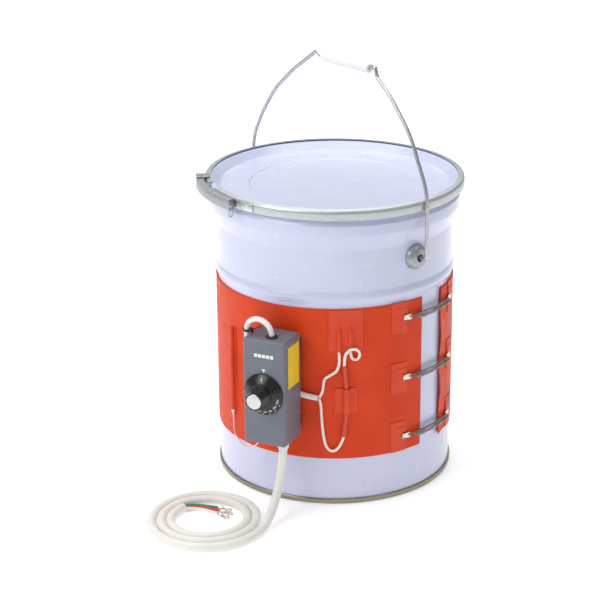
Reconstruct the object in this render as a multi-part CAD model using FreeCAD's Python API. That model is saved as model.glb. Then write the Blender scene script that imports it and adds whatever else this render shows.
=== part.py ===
import FreeCAD, Part
import math
import os

# Heated 20 litre pail: an open-head steel pail with its lid and lever ring, wrapped in a
# silicone rubber heating band that carries a thermostat box and a mains lead.
# Millimetres, Z up, origin on the pail's axis at the floor. The thermostat box, the heater
# leads and the spring fastening face the front, which is -Y. An azimuth is an angle in
# degrees round the axis, from the front towards +X.

V = FreeCAD.Vector
UP = V(0, 0, 1)

# Clearances
skin_gap = 0.05          # between curved skins that lie on each other
seat_gap = 0.3           # between a soft or loose piece and its seat
run_gap = 0.06           # radial, for pins and shafts that turn

# Pail body
body_r = 144.0
curl_low = 362.2
sheet = 0.6
bead_z = 262.0
bead_half = 7.5
bead_depth = 2.6
shoulder_out = 8.3       # the shoulder and the neck stand out from the wall
shoulder_low = 340.0
shoulder_high = 352.5
shoulder_run = 20.0
neck_out = 4.8
neck_rise = 5.0
curl_w = 5.4
curl_h = 5.9
curl_round = 1.4

# Bottom, seamed round the body's lower edge
chime_h = 6.5
chime_wall = 2.0
bottom_sheet = 0.65
bottom_z = 8.0

# Lid and gasket
lid_sheet = 0.8
lid_cove_in = 5.7        # the lid's flat and its raised step start inside the wall's radius
lid_drop = 9.6
lid_step_in = 40.0
lid_step = 1.5
lid_fit = 0.1
lid_skirt_h = 6.0
lid_inset = 0.4
gasket_h = 1.6
gasket_w = 4.4

# Lever ring, a channel that hooks under the curl and over the lid
ring_fit = 0.7           # between the lid's skirt and the ring's web
ring_t = 1.2
ring_lip_low = 5.4       # reach of the lower and upper lips from the outside
ring_lip_high = 7.4
ring_under = 0.4         # between the curl and the lower lip
ring_corner = 0.8
ring_crown = 1.3         # rise of the upper lip from its corner to its tip
ring_over = 0.25         # between the lid's edge and the upper lip
ring_end_a = -74.5       # azimuths of the two ends of the split ring
ring_end_b = -65.5

# Lever, its brackets, hook link and pins. Heights over the ring are reaches from its web.
lever_pin_az = -83.0
lever_end_az = -46.8
lever_t = 1.2
lever_h = 12.2
lever_reach = 10.4
lever_gap = 0.5          # between the bracket's web and the lever's flanges
pin_r = 1.4
pin_head_r = 2.5
pin_head_h = 0.8
pin_reach = 5.8          # from the ring's web out to the fulcrum pin and the hook's pin
lever_boss_r = 3.5
plate_t = 1.4
plate_gap = 0.3
bracket_w = 15.0
bracket_reach = 10.4
bracket_over = 6.0
link_pin_az = -71.0
link_pin_reach = 1.0
link_t = 3.6
link_w = 4.8
hook_pin_az = -58.5
hook_pin_gap = 0.35
hook_wall = 1.1
hook_corner = 0.9
hook_tip = 2.0
lug_t = 1.4
lug_w = 9.0
lug_reach = 8.8
lug_gap = 0.3
catch_az = -40.3
catch_w = 20.0
catch_h = 9.6
catch_hook = 4.2
clip_wire_r = 0.8
clip_w = 5.2
clip_h = 11.0
clip_edge = 3.0
clip_tab = 5.4
clip_hole_r = 1.2
rivet_r = 2.0
rivet_h = 0.9

# Bail
bail_az = 41.0
bail_lean = 1.8
bail_pivot_z = 302.5
wire_r = 2.25
grip_r = 5.9
grip_len = 84.0
grip_centre = 13.0
crown_h = 206.5
leg_gap = 2.8            # between the ring and the bail's leg
tail_gap = 1.8           # between the ear's wall side of the pail and the hooked tail
bail_turn = 5.5
bail_tail = 6.0
tail_turn = 3.2
ear_base_r = 15.6
ear_face_r = 11.4
ear_h = 8.4
ear_t = 1.1
ear_hole_r = 3.1
ear_flange = 1.2

# Heating band
mat_low = 59.7
mat_high = 249.9
mat_t = 1.6
mat_end = 45.3
mat_start = 59.5

# Spring fastening
pad_w = 22.0
pad_h = 39.0
pad_t = 0.9
pad_inner_w = 15.0
pad_inner_h = 24.0
pad_inner_t = 0.8
pad_left_az = 31.55
pad_right_az = 73.35
pad_rows = 3
pad_pitch = 76.0
pad_top_z = 231.0
hook_t = 1.0
hook_h = 7.0
hook_in = 2.7            # arc from the pad's centre to the strip's inner end
hook_out = 14.1          # arc from the pad's centre to the strip's hole
hook_hole_r = 1.2
hook_end = 0.9
eye_r = 2.2
eye_bore = 1.25
eye_t = 0.9
coil_r = 3.75
coil_groove = 0.8
coil_lift = 1.5
coil_end_r = 1.3
coil_ridges = 20
coil_sides = 8

# Leads, patch and thermal fuse
lead_r = 1.7
patch_az = 5.1
patch_w = 41.0
patch_t = 1.0
patch_low = 198.0
patch_high = 248.9
bump_r = 2.9
bump_top = 222.0
bump_left_az = 1.9
bump_right_az = 7.1
fuse_az = 5.3
fuse_pad_w = 26.5
fuse_pad_t = 1.0
fuse_low = 119.0
fuse_high = 151.0
strap_r = 4.2
strap_t = 1.0
fuse_r = 2.0
fuse_len = 22.0
sleeve_r = 2.45
sleeve_seat = 2.9        # height of a sleeve's axis over the mat
sleeve_foot_az = 4.15
butt_gap = 0.45          # between the ends of two pieces of one line

# Sensor in its pocket
sensor_az = -56.3
pocket_low = 97.0
pocket_high = 202.7
pocket_r = 3.4
pocket_t = 0.9
pocket_wing = 1.8
pocket_lip = 6.0         # from the pocket's mouth to the bulb
bulb_r = 2.0
bulb_len = 92.0
cone_len = 9.0
capillary_r = 0.8

# Thermostat box
case_az = -24.6
case_stand = 8.85        # from the mat to the box's back
case_depth = 42.5
case_w = 53.0
case_low = 93.7
case_high = 223.7
case_wall = 2.0
case_round = 2.2
back_t = 2.0
foot_w = 12.0
foot_x = 17.0
foot_z = 16.5
post_r = 3.2
post_x = 21.8
post_z = 5.0
screw_r = 1.4
screw_head_r = 2.5
screw_head_h = 1.2
screw_len = 12.0

# Cable entries of the box
cable_r = 3.3
top_bush_x = 3.6
top_bush_in = 15.5       # the entries lie behind the box's face
bush_r = 7.4
bush_flange = 1.8
bush_neck_r = 5.6
bush_neck = 5.0
cord_r = 5.25
gland_x = 14.0
gland_in = 21.0
inlet_x = -14.0          # the capillary's hole
inlet_in = 29.0
stem_r = 1.1
gland_r = 8.6
gland_neck_r = 7.4
gland_neck = 3.5
gland_flange = 2.0
gland_taper = 8.0
gland_tip_r = 6.4

# Thermostat and knob
knob_z = 158.0
skirt_r = 25.3
skirt_edge = 1.5
skirt_h = 8.0
knob_gap = 0.8
knob_h = 25.2
knob_base_r = 14.2
knob_top_r = 11.4
knob_sides = 8
cap_r = 9.3
cap_h = 1.0
cap_crown = 0.5
spindle_r = 3.0
spindle_flat = 1.6
spindle_len = 17.0
bushing_r = 4.8
stat_r = 18.0
stat_len = 24.0
block_w = 30.0
block_h = 15.0
block_d = 14.0
block_z = 106.0

# Mains lead's coil on the floor, wound clockwise and inwards from its start angle. Its middle
# lies to the left of the gland and in front of it.
coil_left = 90.464
coil_front = 29.147
coil_start = -33.0
coil_end = 135.0
coil_start_r = 68.5
coil_pitch = 10.6
coil_rounds = 3          # the coil ends on its third pass of coil_end
core_r = 1.65
core_pitch = 3.5
core_gap = 0.75          # between the jacket's cut end and a core's solid
tag_r = 4.0
tag_hole_r = 2.15
tag_t = 0.9
tag_barrel_r = 2.2
tag_barrel = 7.0
tag_reach = 13.0
tag_neck = 1.8
tag_lift = 0.1

# Cable tie
tie_bore_gap = 0.15
tie_t = 1.0
tie_w = 2.6
tie_up = 8.2
tie_head = 4.0
tie_tail = 13.0
tie_tilt = 62.0

# Derived places
mat_r = body_r + skin_gap
mat_out = mat_r + mat_t
shoulder_r = body_r + shoulder_out
neck_r = body_r + neck_out
lid_cove_r = body_r - lid_cove_in
lid_step_r = body_r - lid_step_in
curl_r = neck_r + curl_w
rim_z = curl_low + curl_h
lid_top = rim_z + gasket_h + skin_gap + lid_sheet
lid_r = curl_r + lid_fit + lid_sheet
ring_r = lid_r + ring_fit + ring_t
ring_low = curl_low - ring_under - ring_t
ring_top = lid_top + ring_over + ring_t + ring_crown
leg_r = ring_r + leg_gap + wire_r
case_back = mat_out + case_stand
case_face = case_back + case_depth
top_bush_n = case_face - top_bush_in
gland_n = case_face - gland_in
inlet_n = case_face - inlet_in
coil_turns = coil_rounds - (coil_end - coil_start) / 360.0


def polar(azimuth, radius, z):
    a = math.radians(azimuth)
    return V(radius * math.sin(a), -radius * math.cos(a), z)


def turned(shape, azimuth):
    copy = shape.copy()
    copy.rotate(V(0, 0, 0), UP, azimuth)
    return copy


def loop(points):
    return Part.makePolygon(list(points) + [points[0]])


def ring_solid(section, start=None, end=None):
    """A section of (radius, height) points swept round the axis, all round or between azimuths."""
    first = 0.0 if start is None else start
    sweep = 360.0 if start is None else end - start
    face = Part.Face(loop([polar(first, r, z) for r, z in section]))
    return face.revolve(V(0, 0, 0), UP, sweep)


def skin(inner, thick, start, end, low, high):
    outer = inner + thick
    return ring_solid([(inner, low), (outer, low), (outer, high), (inner, high)], start, end)


def width_angle(width, radius):
    return math.degrees(width / radius)


def save(shape, node):
    shape.exportStep(os.path.join("parts", node + ".step"))


def cylinder(radius, start, end):
    axis = end.sub(start)
    return Part.makeCylinder(radius, axis.Length, start, axis)


def cone(radius_a, radius_b, start, end):
    axis = end.sub(start)
    return Part.makeCone(radius_a, radius_b, axis.Length, start, axis)


def polygon_wire(sides, radius, centre, across, upward):
    corners = []
    for i in range(sides):
        a = math.radians(360.0 * (i + 0.5) / sides)
        corners.append(centre + across * (radius * math.cos(a)) + upward * (radius * math.sin(a)))
    return loop(corners)


def smooth_path(points, radii=None):
    """Straight runs joined by tangent arcs. With no radii each arc is as large as its runs allow."""
    edges = []
    here = points[0]
    least = None
    for i in range(1, len(points) - 1):
        corner = points[i]
        back = points[i - 1] - corner
        ahead = points[i + 1] - corner
        turn = math.pi - back.getAngle(ahead)
        cut = 0.45 * min(back.Length, ahead.Length)
        radius = cut / math.tan(turn / 2)
        if radii is not None:
            radius = radii[i - 1]
            cut = radius * math.tan(turn / 2)
        back.normalize()
        ahead.normalize()
        start = corner + back * cut
        end = corner + ahead * cut
        middle_way = back + ahead
        middle_way.normalize()
        reach = radius / math.cos(turn / 2) - radius
        edges.append(Part.LineSegment(here, start).toShape())
        edges.append(Part.Arc(start, corner + middle_way * reach, end).toShape())
        here = end
        least = radius if least is None else min(least, radius)
    edges.append(Part.LineSegment(here, points[-1]).toShape())
    return Part.Wire(edges), least


def tube(name, points, radius, radii=None):
    path, least = smooth_path(points, radii)
    heading = points[1] - points[0]
    section = Part.Wire([Part.Circle(points[0], heading, radius).toShape()])
    solid = path.makePipeShell([section], True, False)
    share = solid.Volume / (math.pi * radius ** 2 * path.Length)
    print(name, "length %.1f least radius %.1f volume share %.4f" % (path.Length, least, share))
    return solid


# Pail: body with its bead, shoulder and rolled top edge, and the seamed bottom

def body_side(step):
    r = body_r - step
    foot = V(r, 0, bottom_sheet + skin_gap)
    bead = [V(r, 0, bead_z - bead_half), V(r + bead_depth, 0, bead_z), V(r, 0, bead_z + bead_half)]
    upper = [V(r, 0, shoulder_low - shoulder_run), V(shoulder_r - step, 0, shoulder_low),
             V(shoulder_r - step, 0, shoulder_high), V(neck_r - step, 0, shoulder_high + neck_rise)]
    return foot, bead, upper


def make_body():
    foot_out, bead_out, upper_out = body_side(0.0)
    foot_in, bead_in, upper_in = body_side(sheet)
    c = curl_round
    neck_in = neck_r - sheet
    curl = [V(neck_r, 0, curl_low), V(curl_r - c, 0, curl_low), V(curl_r, 0, curl_low + c),
            V(curl_r, 0, rim_z - c), V(curl_r - c, 0, rim_z), V(neck_in + c, 0, rim_z),
            V(neck_in, 0, rim_z - c)]
    chain = [bead_out[2]] + upper_out + curl + upper_in[::-1] + [bead_in[2]]
    edges = [Part.LineSegment(foot_out, bead_out[0]).toShape(), Part.Arc(*bead_out).toShape()]
    for a, b in zip(chain, chain[1:]):
        edges.append(Part.LineSegment(a, b).toShape())
    edges.append(Part.Arc(*bead_in[::-1]).toShape())
    edges.append(Part.LineSegment(bead_in[0], foot_in).toShape())
    edges.append(Part.LineSegment(foot_in, foot_out).toShape())
    return Part.Face(Part.Wire(edges)).revolve(V(0, 0, 0), UP, 360)


def make_bottom():
    inside = body_r - sheet - skin_gap
    well = inside - bottom_sheet
    outside = body_r + chime_wall
    edge = chime_wall / 3
    section = [(0, bottom_z), (well, bottom_z), (well, 0), (outside - edge, 0), (outside, edge),
               (outside, chime_h), (mat_r, chime_h), (mat_r, bottom_sheet), (inside, bottom_sheet),
               (inside, bottom_z + bottom_sheet), (0, bottom_z + bottom_sheet)]
    return ring_solid(section)


# Lid with its sloped wall and stepped panel, and the gasket under its rim

def make_lid():
    t = lid_sheet
    rim_in = neck_r - sheet - lid_inset
    skirt_in = lid_r - t
    flat = lid_top - lid_drop
    low = flat - lid_step
    section = [(0, low), (lid_step_r - lid_step, low), (lid_step_r, flat), (lid_cove_r, flat),
               (rim_in, lid_top), (skirt_in, lid_top), (lid_r, lid_top - t),
               (lid_r, lid_top - lid_skirt_h), (skirt_in, lid_top - lid_skirt_h),
               (skirt_in, lid_top - t), (rim_in, lid_top - t), (lid_cove_r, flat - t),
               (lid_step_r, flat - t), (lid_step_r - lid_step, low - t), (0, low - t)]
    return ring_solid(section)


def make_gasket():
    middle = (neck_r - sheet + curl_r) / 2
    return skin(middle - gasket_w / 2, gasket_w, None, None, rim_z, rim_z + gasket_h)


# Split clamping ring

def make_ring():
    t = ring_t
    corner = ring_top - ring_crown
    outer = [(ring_r - ring_lip_low, ring_low), (ring_r - ring_corner, ring_low),
             (ring_r, ring_low + ring_corner), (ring_r, corner - 3 * ring_corner),
             (ring_r - ring_corner, corner), (ring_r - ring_lip_high, ring_top)]
    inner = [(ring_r - ring_lip_high, ring_top - t), (ring_r - ring_corner - 0.8 * t, corner - t),
             (ring_r - t, corner - 3 * ring_corner), (ring_r - t, ring_low + t),
             (ring_r - ring_lip_low, ring_low + t)]
    return ring_solid(outer + inner, ring_end_b, 360.0 + ring_end_a)


# Lever latch: bracket with the fulcrum pin on one ring end, hook pin on the other, and the
# lever between them that pulls the hook link past its dead centre

def lever_levels():
    middle = (ring_low + ring_top) / 2
    low = middle - lever_h / 2
    return low, low + lever_h


def fulcrum():
    return polar(lever_pin_az, ring_r + pin_reach, 0)


def link_pivot():
    return polar(link_pin_az, ring_r + link_pin_reach, 0)


def hook_pivot():
    return polar(hook_pin_az, ring_r + pin_reach, 0)


def upright(radius, place, low, high):
    return Part.makeCylinder(radius, high - low, V(place.x, place.y, low), UP)


def bracket_levels():
    low, high = lever_levels()
    under = low - plate_gap
    over = max(high + plate_gap, ring_top + skin_gap)
    return under, over


def make_latch_bracket():
    under, over = bracket_levels()
    half = width_angle(bracket_w, ring_r) / 2
    start, end = lever_pin_az - half, lever_pin_az + half
    inside = ring_r + skin_gap
    outside = ring_r + bracket_reach
    web = skin(inside, plate_t, start, end, under - plate_t, over + plate_t)
    lower = skin(inside, outside - inside, start, end, under - plate_t, under)
    upper_in = ring_r - bracket_over
    upper = skin(upper_in, outside - upper_in, start, end, over, over + plate_t)
    hole = upright(pin_r + skin_gap, fulcrum(), under - 2 * plate_t, over + 2 * plate_t)
    return web.fuse([lower, upper]).removeSplitter().cut(hole)


def make_fulcrum_pin():
    under, over = bracket_levels()
    place = fulcrum()
    low, high = under - plate_t, over + plate_t
    shank = upright(pin_r, place, low - pin_head_h, high + pin_head_h)
    heads = [upright(pin_head_r, place, low - pin_head_h, low),
             upright(pin_head_r, place, high, high + pin_head_h)]
    return shank.fuse(heads).removeSplitter()


def make_lever():
    low, high = lever_levels()
    t = lever_t
    outside = ring_r + lever_reach
    flange = ring_r + skin_gap + plate_t + lever_gap
    section = [(flange, low), (outside, low), (outside, high), (flange, high), (flange, high - t),
               (outside - t, high - t), (outside - t, low + t), (flange, low + t)]
    solid = ring_solid(section, lever_pin_az, lever_end_az)
    bosses = []
    for place in (fulcrum(), link_pivot()):
        bosses.append(upright(lever_boss_r, place, low, low + t))
        bosses.append(upright(lever_boss_r, place, high - t, high))
    tab_end = lever_end_az + width_angle(clip_tab, outside)
    tab = skin(outside - t, t, lever_end_az - 1.0, tab_end, low, low + 2 * clip_edge)
    solid = solid.fuse(bosses + [tab]).removeSplitter()
    solid = solid.cut(upright(pin_r + run_gap, fulcrum(), low - 1, high + 1))
    solid = solid.cut(upright(pin_r + skin_gap, link_pivot(), low - 1, high + 1))
    eye = clip_eye()
    out = polar(clip_azimuth(), 1, 0)
    return solid.cut(cylinder(clip_hole_r, eye - out * 3, eye + out * 3))


def clip_azimuth():
    outside = ring_r + lever_reach
    return lever_end_az + width_angle(clip_tab - clip_edge, outside)


def clip_eye():
    low, high = lever_levels()
    return polar(clip_azimuth(), ring_r + lever_reach - lever_t / 2, low + clip_edge)


def make_clip():
    r = clip_w / 2
    run = clip_h - clip_w
    side = cylinder(clip_wire_r, V(0, r, -r), V(0, r, -r - run))
    other = cylinder(clip_wire_r, V(0, -r, -r), V(0, -r, -r - run))
    circle = Part.Face(Part.Wire([Part.Circle(V(0, r, -r), UP, clip_wire_r).toShape()]))
    top = circle.revolve(V(0, 0, -r), V(1, 0, 0), 180)
    low = circle.copy()
    low.translate(V(0, 0, -run))
    bottom = low.revolve(V(0, 0, -r - run), V(1, 0, 0), -180)
    shape = side.fuse([other, top, bottom]).removeSplitter()
    shape = turned(shape, clip_azimuth())
    shape.translate(clip_eye())
    return shape


def make_link_pin():
    low, high = lever_levels()
    return upright(pin_r, link_pivot(), low, high)


def link_levels():
    low, high = lever_levels()
    middle = (low + high) / 2
    return middle - link_t / 2, middle + link_t / 2


def make_link():
    low, high = link_levels()
    start, end = link_pivot(), hook_pivot()
    along = end - start
    length = along.Length
    along.normalize()
    out = V(along.y, -along.x, 0)
    if out.dot(start) < 0:
        out = out * -1.0
    inside = pin_r + hook_pin_gap
    half = link_w / 2
    corner = inside - hook_corner
    outside = inside + hook_wall
    outline = [(0, -half), (length * 0.2, -half / 2), (length - inside - hook_tip, inside),
               (length + corner, inside), (length + inside, corner), (length + inside, -hook_tip),
               (length + outside, -hook_tip), (length + outside, hook_corner),
               (length + hook_corner, outside), (length * 0.75, outside),
               (length * 0.5, half), (0, half)]
    points = [start + along * x + out * y + V(0, 0, low) for x, y in outline]
    bar = Part.Face(loop(points)).extrude(V(0, 0, high - low))
    bar = bar.fuse(upright(half, start, low, high)).removeSplitter()
    return bar.cut(upright(pin_r + run_gap, start, low - 1, high + 1))


def make_hook_bracket():
    low, high = link_levels()
    half = width_angle(lug_w, ring_r) / 2
    start, end = hook_pin_az - half, hook_pin_az + half
    inside = ring_r + skin_gap
    under, over = low - lug_gap, high + lug_gap
    web = skin(inside, plate_t, start, end, under - lug_t, over + lug_t)
    lower = skin(inside, lug_reach, start, end, under - lug_t, under)
    upper = skin(inside, lug_reach, start, end, over, over + lug_t)
    hole = upright(pin_r + skin_gap, hook_pivot(), under - 2 * lug_t, over + 2 * lug_t)
    return web.fuse([lower, upper]).removeSplitter().cut(hole)


def make_hook_pin():
    low, high = link_levels()
    reach = lug_gap + lug_t
    return upright(pin_r, hook_pivot(), low - reach, high + reach)


def make_catch():
    middle = (ring_low + ring_top) / 2 - ring_crown / 2
    half = width_angle(catch_w, ring_r) / 2
    start, end = catch_az - half, catch_az + half
    inside = ring_r + skin_gap
    low, high = middle - catch_h / 2, middle + catch_h / 2
    plate = skin(inside, plate_t, start, end, low, high)
    tab_end = start + width_angle(plate_t, ring_r)
    tab = skin(inside, plate_t + catch_hook, start, tab_end, low + catch_h / 4, high - catch_h / 4)
    heads = []
    for share in (-0.15, 0.3):
        az = catch_az + share * 2 * half
        foot = polar(az, inside + plate_t / 2, middle)
        heads.append(cylinder(rivet_r, foot, polar(az, inside + plate_t + rivet_h, middle)))
    return plate.fuse([tab] + heads).removeSplitter()


# Bail with its grip, and the two ears that carry it

def on_bail(across, height):
    lean = math.radians(bail_lean)
    side = polar(bail_az, 1, 0)
    back = polar(bail_az + 90, 1, 0)
    rise = UP * math.cos(lean) + back * math.sin(lean)
    return side * across + rise * height + V(0, 0, bail_pivot_z)


# The bail's corners are (across, height) from the middle between its ears, with bend radii. On
# the bows they are shares of the leg's reach and of the crown's height, and at the grip they
# are set off from its ends.
def make_bail():
    tail_r = body_r + tail_gap + wire_r
    ear_right = [(tail_r, bail_tail, 0), (tail_r, 0, tail_turn), (leg_r, 0, bail_turn)]
    bow_right = [(0.9861, 0.3777, 80), (0.7837, 0.6876, 130), (0.5739, 0.8668, 130)]
    bow_left = [(-0.5245, 0.8717, 130), (-0.7282, 0.7312, 110), (-0.8701, 0.5714, 110),
                (-0.9799, 0.4068, 70)]
    knee_right = [(13.0, -8.0, 10), (7.8, 6.8, 3.2), (2.5, 0.0, 3.2)]
    knee_left = [(-4.0, 0.0, 5), (-12.0, 4.3, 5)]
    end_right = grip_centre + grip_len / 2
    end_left = grip_centre - grip_len / 2
    right = [(leg_r * u, crown_h * v, r) for u, v, r in bow_right]
    right += [(end_right + u, crown_h + v, r) for u, v, r in knee_right]
    left = [(end_left + u, crown_h + v, r) for u, v, r in knee_left]
    left += [(leg_r * u, crown_h * v, r) for u, v, r in bow_left]
    ear_left = [(-u, v, r) for u, v, r in ear_right[::-1]]
    corners = ear_right + right + left + ear_left
    points = [on_bail(u, v) for u, v, r in corners]
    return tube("bail_wire", points, wire_r, [r for u, v, r in corners[1:-1]])


def make_grip():
    start = on_bail(grip_centre - grip_len / 2, crown_h)
    end = on_bail(grip_centre + grip_len / 2, crown_h)
    body = cylinder(grip_r, start, end)
    ends = [e for e in body.Edges if isinstance(e.Curve, Part.Circle)]
    body = body.makeFillet(1.6, ends)
    away = end - start
    away.normalize()
    return body.cut(cylinder(wire_r + run_gap, start - away, end + away))


def octagon_loft(radius_a, radius_b, start, end):
    wires = []
    for radius, distance in ((radius_a, start), (radius_b, end)):
        wires.append(polygon_wire(8, radius, V(0, -distance, bail_pivot_z), V(1, 0, 0), UP))
    return Part.makeLoft(wires, True, True)


def make_ear(azimuth):
    base = body_r - 2.5
    face = body_r + ear_h
    slope = ear_base_r - ear_flange - ear_face_r
    shell = octagon_loft(ear_base_r - ear_flange + slope * 0.25, ear_face_r, base, face)
    flange = octagon_loft(ear_base_r, ear_base_r, base, body_r + ear_flange)
    hollow = octagon_loft(ear_base_r - ear_flange + slope * 0.25 - ear_t, ear_face_r - ear_t,
                          base - 1, face - ear_t)
    ear = shell.fuse(flange).cut(hollow)
    low = bail_pivot_z - ear_base_r * 1.5
    ear = ear.cut(Part.makeCylinder(body_r + skin_gap, ear_base_r * 3, V(0, 0, low)))
    hole = cylinder(ear_hole_r, V(0, -base, bail_pivot_z), V(0, -face - 1, bail_pivot_z))
    return turned(ear.cut(hole), azimuth)


# Heating band and the spring fastening across its open ends

def make_mat():
    return skin(mat_r, mat_t, mat_start - 360, mat_end, mat_low, mat_high)


def row_z(row):
    return pad_top_z - row * pad_pitch


def make_pad(azimuth, mirror, row):
    z = row_z(row)
    low = mat_out + skin_gap
    half = width_angle(pad_w, mat_out) / 2
    outer = skin(low, pad_t, azimuth - half, azimuth + half, z - pad_h / 2, z + pad_h / 2)
    inner_half = width_angle(pad_inner_w, mat_out) / 2
    centre = azimuth + mirror * (half - inner_half - 0.2)
    inner = skin(low, pad_t + pad_inner_t, centre - inner_half, centre + inner_half,
                 z - pad_inner_h / 2, z + pad_inner_h / 2)
    return outer.fuse(inner).removeSplitter()


def hook_low():
    return mat_out + skin_gap + pad_t + pad_inner_t + skin_gap


def hook_axis_r():
    return hook_low() + hook_t / 2


def hook_hole_az(azimuth, mirror):
    return azimuth + mirror * width_angle(hook_out, hook_axis_r())


def make_hook(azimuth, mirror, row):
    z = row_z(row)
    hole_az = hook_hole_az(azimuth, mirror)
    tip = hole_az + mirror * width_angle(hook_hole_r + hook_end, hook_axis_r())
    root = azimuth - mirror * width_angle(hook_in, hook_axis_r())
    start, end = min(root, tip), max(root, tip)
    plate = skin(hook_low(), hook_t, start, end, z - hook_h / 2, z + hook_h / 2)
    inside = polar(hole_az, hook_low() - 1, z)
    outside = polar(hole_az, hook_low() + hook_t + 1, z)
    return plate.cut(cylinder(hook_hole_r, inside, outside))


def eye_az(azimuth, mirror):
    middle = (eye_r + eye_bore) / 2
    return hook_hole_az(azimuth, mirror) + mirror * width_angle(middle, hook_axis_r())


def make_spring(row):
    z = row_z(row)
    first = eye_az(pad_left_az, 1)
    last = eye_az(pad_right_az, -1)
    inset = width_angle(eye_bore + seat_gap, hook_axis_r())
    start, end = first + inset, last - inset
    rings = []
    count = 2 * coil_ridges
    for i in range(count + 1):
        az = start + (end - start) * i / count
        centre_r = mat_out + coil_lift + coil_r
        radius = coil_r if i % 2 else coil_r - coil_groove
        if i in (0, count):
            centre_r = hook_axis_r()
            radius = coil_end_r
        rings.append(polygon_wire(coil_sides, radius, polar(az, centre_r, z), polar(az, 1, 0), UP))
    coil = Part.makeLoft(rings, True, True)
    eyes = []
    for az in (first, last):
        foot = polar(az, hook_axis_r(), z - eye_t / 2)
        eye = Part.makeCylinder(eye_r, eye_t, foot, UP)
        eyes.append(eye.cut(Part.makeCylinder(eye_bore, eye_t, foot, UP)))
    return coil.fuse(eyes).removeSplitter()


# Lead patch, thermal fuse in its strap, and the sensor in its pocket

def trim_to_mat(shape, low, high):
    return shape.cut(Part.makeCylinder(mat_out + skin_gap, high - low, V(0, 0, low)))


def lead_axis_r():
    return mat_out + 0.55 + lead_r


def make_lead_patch():
    half = width_angle(patch_w, mat_out) / 2
    patch = skin(mat_out + skin_gap, patch_t, patch_az - half, patch_az + half, patch_low, patch_high)
    bumps = []
    for az in (bump_left_az, bump_right_az):
        foot = polar(az, lead_axis_r(), patch_low)
        neck = polar(az, lead_axis_r(), bump_top)
        tip = polar(az, mat_out, bump_top + 3 * bump_r)
        bumps.append(cylinder(bump_r, foot, neck))
        bumps.append(cone(bump_r, 0.6, neck, tip))
    return trim_to_mat(patch.fuse(bumps), patch_low - 5, patch_high + 5).removeSplitter()


def sleeve_axis_r():
    return mat_out + sleeve_seat


def make_fuse_pad():
    half = width_angle(fuse_pad_w, mat_out) / 2
    pad = skin(mat_out + skin_gap, fuse_pad_t, fuse_az - half, fuse_az + half, fuse_low, fuse_high)
    foot = polar(fuse_az, sleeve_axis_r(), fuse_low)
    head = polar(fuse_az, sleeve_axis_r(), fuse_high)
    shape = pad.fuse(cylinder(strap_r, foot, head))
    shape = shape.cut(cylinder(strap_r - strap_t, foot - UP, head + UP))
    return trim_to_mat(shape, fuse_low - 5, fuse_high + 5)


def fuse_ends():
    middle = (fuse_low + fuse_high) / 2
    return middle - fuse_len / 2, middle + fuse_len / 2


def make_fuse():
    low, high = fuse_ends()
    return cylinder(fuse_r, polar(fuse_az, sleeve_axis_r(), low), polar(fuse_az, sleeve_axis_r(), high))


def bulb_axis_r():
    return mat_out + seat_gap + bulb_r


def make_pocket():
    foot = polar(sensor_az, bulb_axis_r(), pocket_low)
    head = polar(sensor_az, bulb_axis_r(), pocket_high)
    half = width_angle(2 * (pocket_r + pocket_wing), mat_out) / 2
    wings = skin(mat_out + skin_gap, pocket_t, sensor_az - half, sensor_az + half, pocket_low, pocket_high)
    bore = cylinder(pocket_r - pocket_t, foot - UP, head - UP * 3)
    shape = wings.fuse(cylinder(pocket_r, foot, head)).cut(bore)
    return trim_to_mat(shape, pocket_low - 5, pocket_high + 5)


# Routes over the band are (azimuth, radius, height), chosen by eye along the real lie

def over_mat(route):
    return [polar(az, mat_out + lift, z) for az, lift, z in route]


def make_sensor():
    axis_r = bulb_axis_r()
    low = polar(sensor_az, axis_r, pocket_low + pocket_lip)
    top = polar(sensor_az, axis_r, pocket_low + pocket_lip + bulb_len)
    mouth = polar(sensor_az, axis_r, pocket_low)
    neck = polar(sensor_az, axis_r, pocket_low - cone_len)
    bulb = cylinder(bulb_r, low, top)
    stem = cylinder(stem_r, mouth, low)
    boot = cone(bulb_r, capillary_r, mouth, neck)
    route = over_mat([(-56.2, 2.5, 77), (-55.4, 2.9, 68), (-53.0, 3.4, 61.5), (-49.2, 4.4, 58.4),
                      (-44.8, 7, 58.5), (-40.2, 11.2, 62.5), (-36, 16.2, 70), (-32.6, 20.8, 80)])
    line = tube("capillary", [neck] + route + [box_point(inlet_x, inlet_n, case_low)], capillary_r)
    return bulb.fuse([stem, boot, line]).removeSplitter()


# The feeder splits into two leads. The lower one rises through a sleeve to the thermal fuse.
# A lead's points are (share of the way round from the split to its far end, lift, height).

def from_split(last_az, route):
    split = output_points()[-1]
    first_az = math.degrees(math.atan2(split.x, -split.y))
    return over_mat([(first_az + (last_az - first_az) * share, lift, z) for share, lift, z in route])


def make_upper_lead():
    route = [(0.0746, 3.0, 140.3), (0.2617, 2.4, 147.5), (0.3345, 2.3, 156.5), (0.4593, 2.3, 165.5),
             (0.7816, 2.3, 173), (1.0, 2.3, 181), (1.0416, 2.3, 190)]
    end = polar(bump_left_az, lead_axis_r(), patch_low - butt_gap)
    return tube("upper_lead", from_split(bump_left_az, route) + [end], lead_r)


def lower_sleeve_start():
    return polar(sleeve_foot_az, mat_out + sleeve_seat, 89.6)


def upper_sleeve_end():
    return polar(4.4, mat_out + sleeve_seat, 180.5)


def make_lower_lead():
    route = [(0.0604, 3.0, 138.5), (0.1194, 2.4, 131), (0.1363, 2.3, 119), (0.17, 2.3, 103),
             (0.229, 2.3, 88), (0.3217, 2.3, 76), (0.5323, 2.3, 70), (0.7514, 2.4, 73), (0.9115, 2.7, 81)]
    foot = lower_sleeve_start() - UP * butt_gap
    return tube("lower_lead", from_split(sleeve_foot_az, route) + [foot], lead_r)


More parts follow.
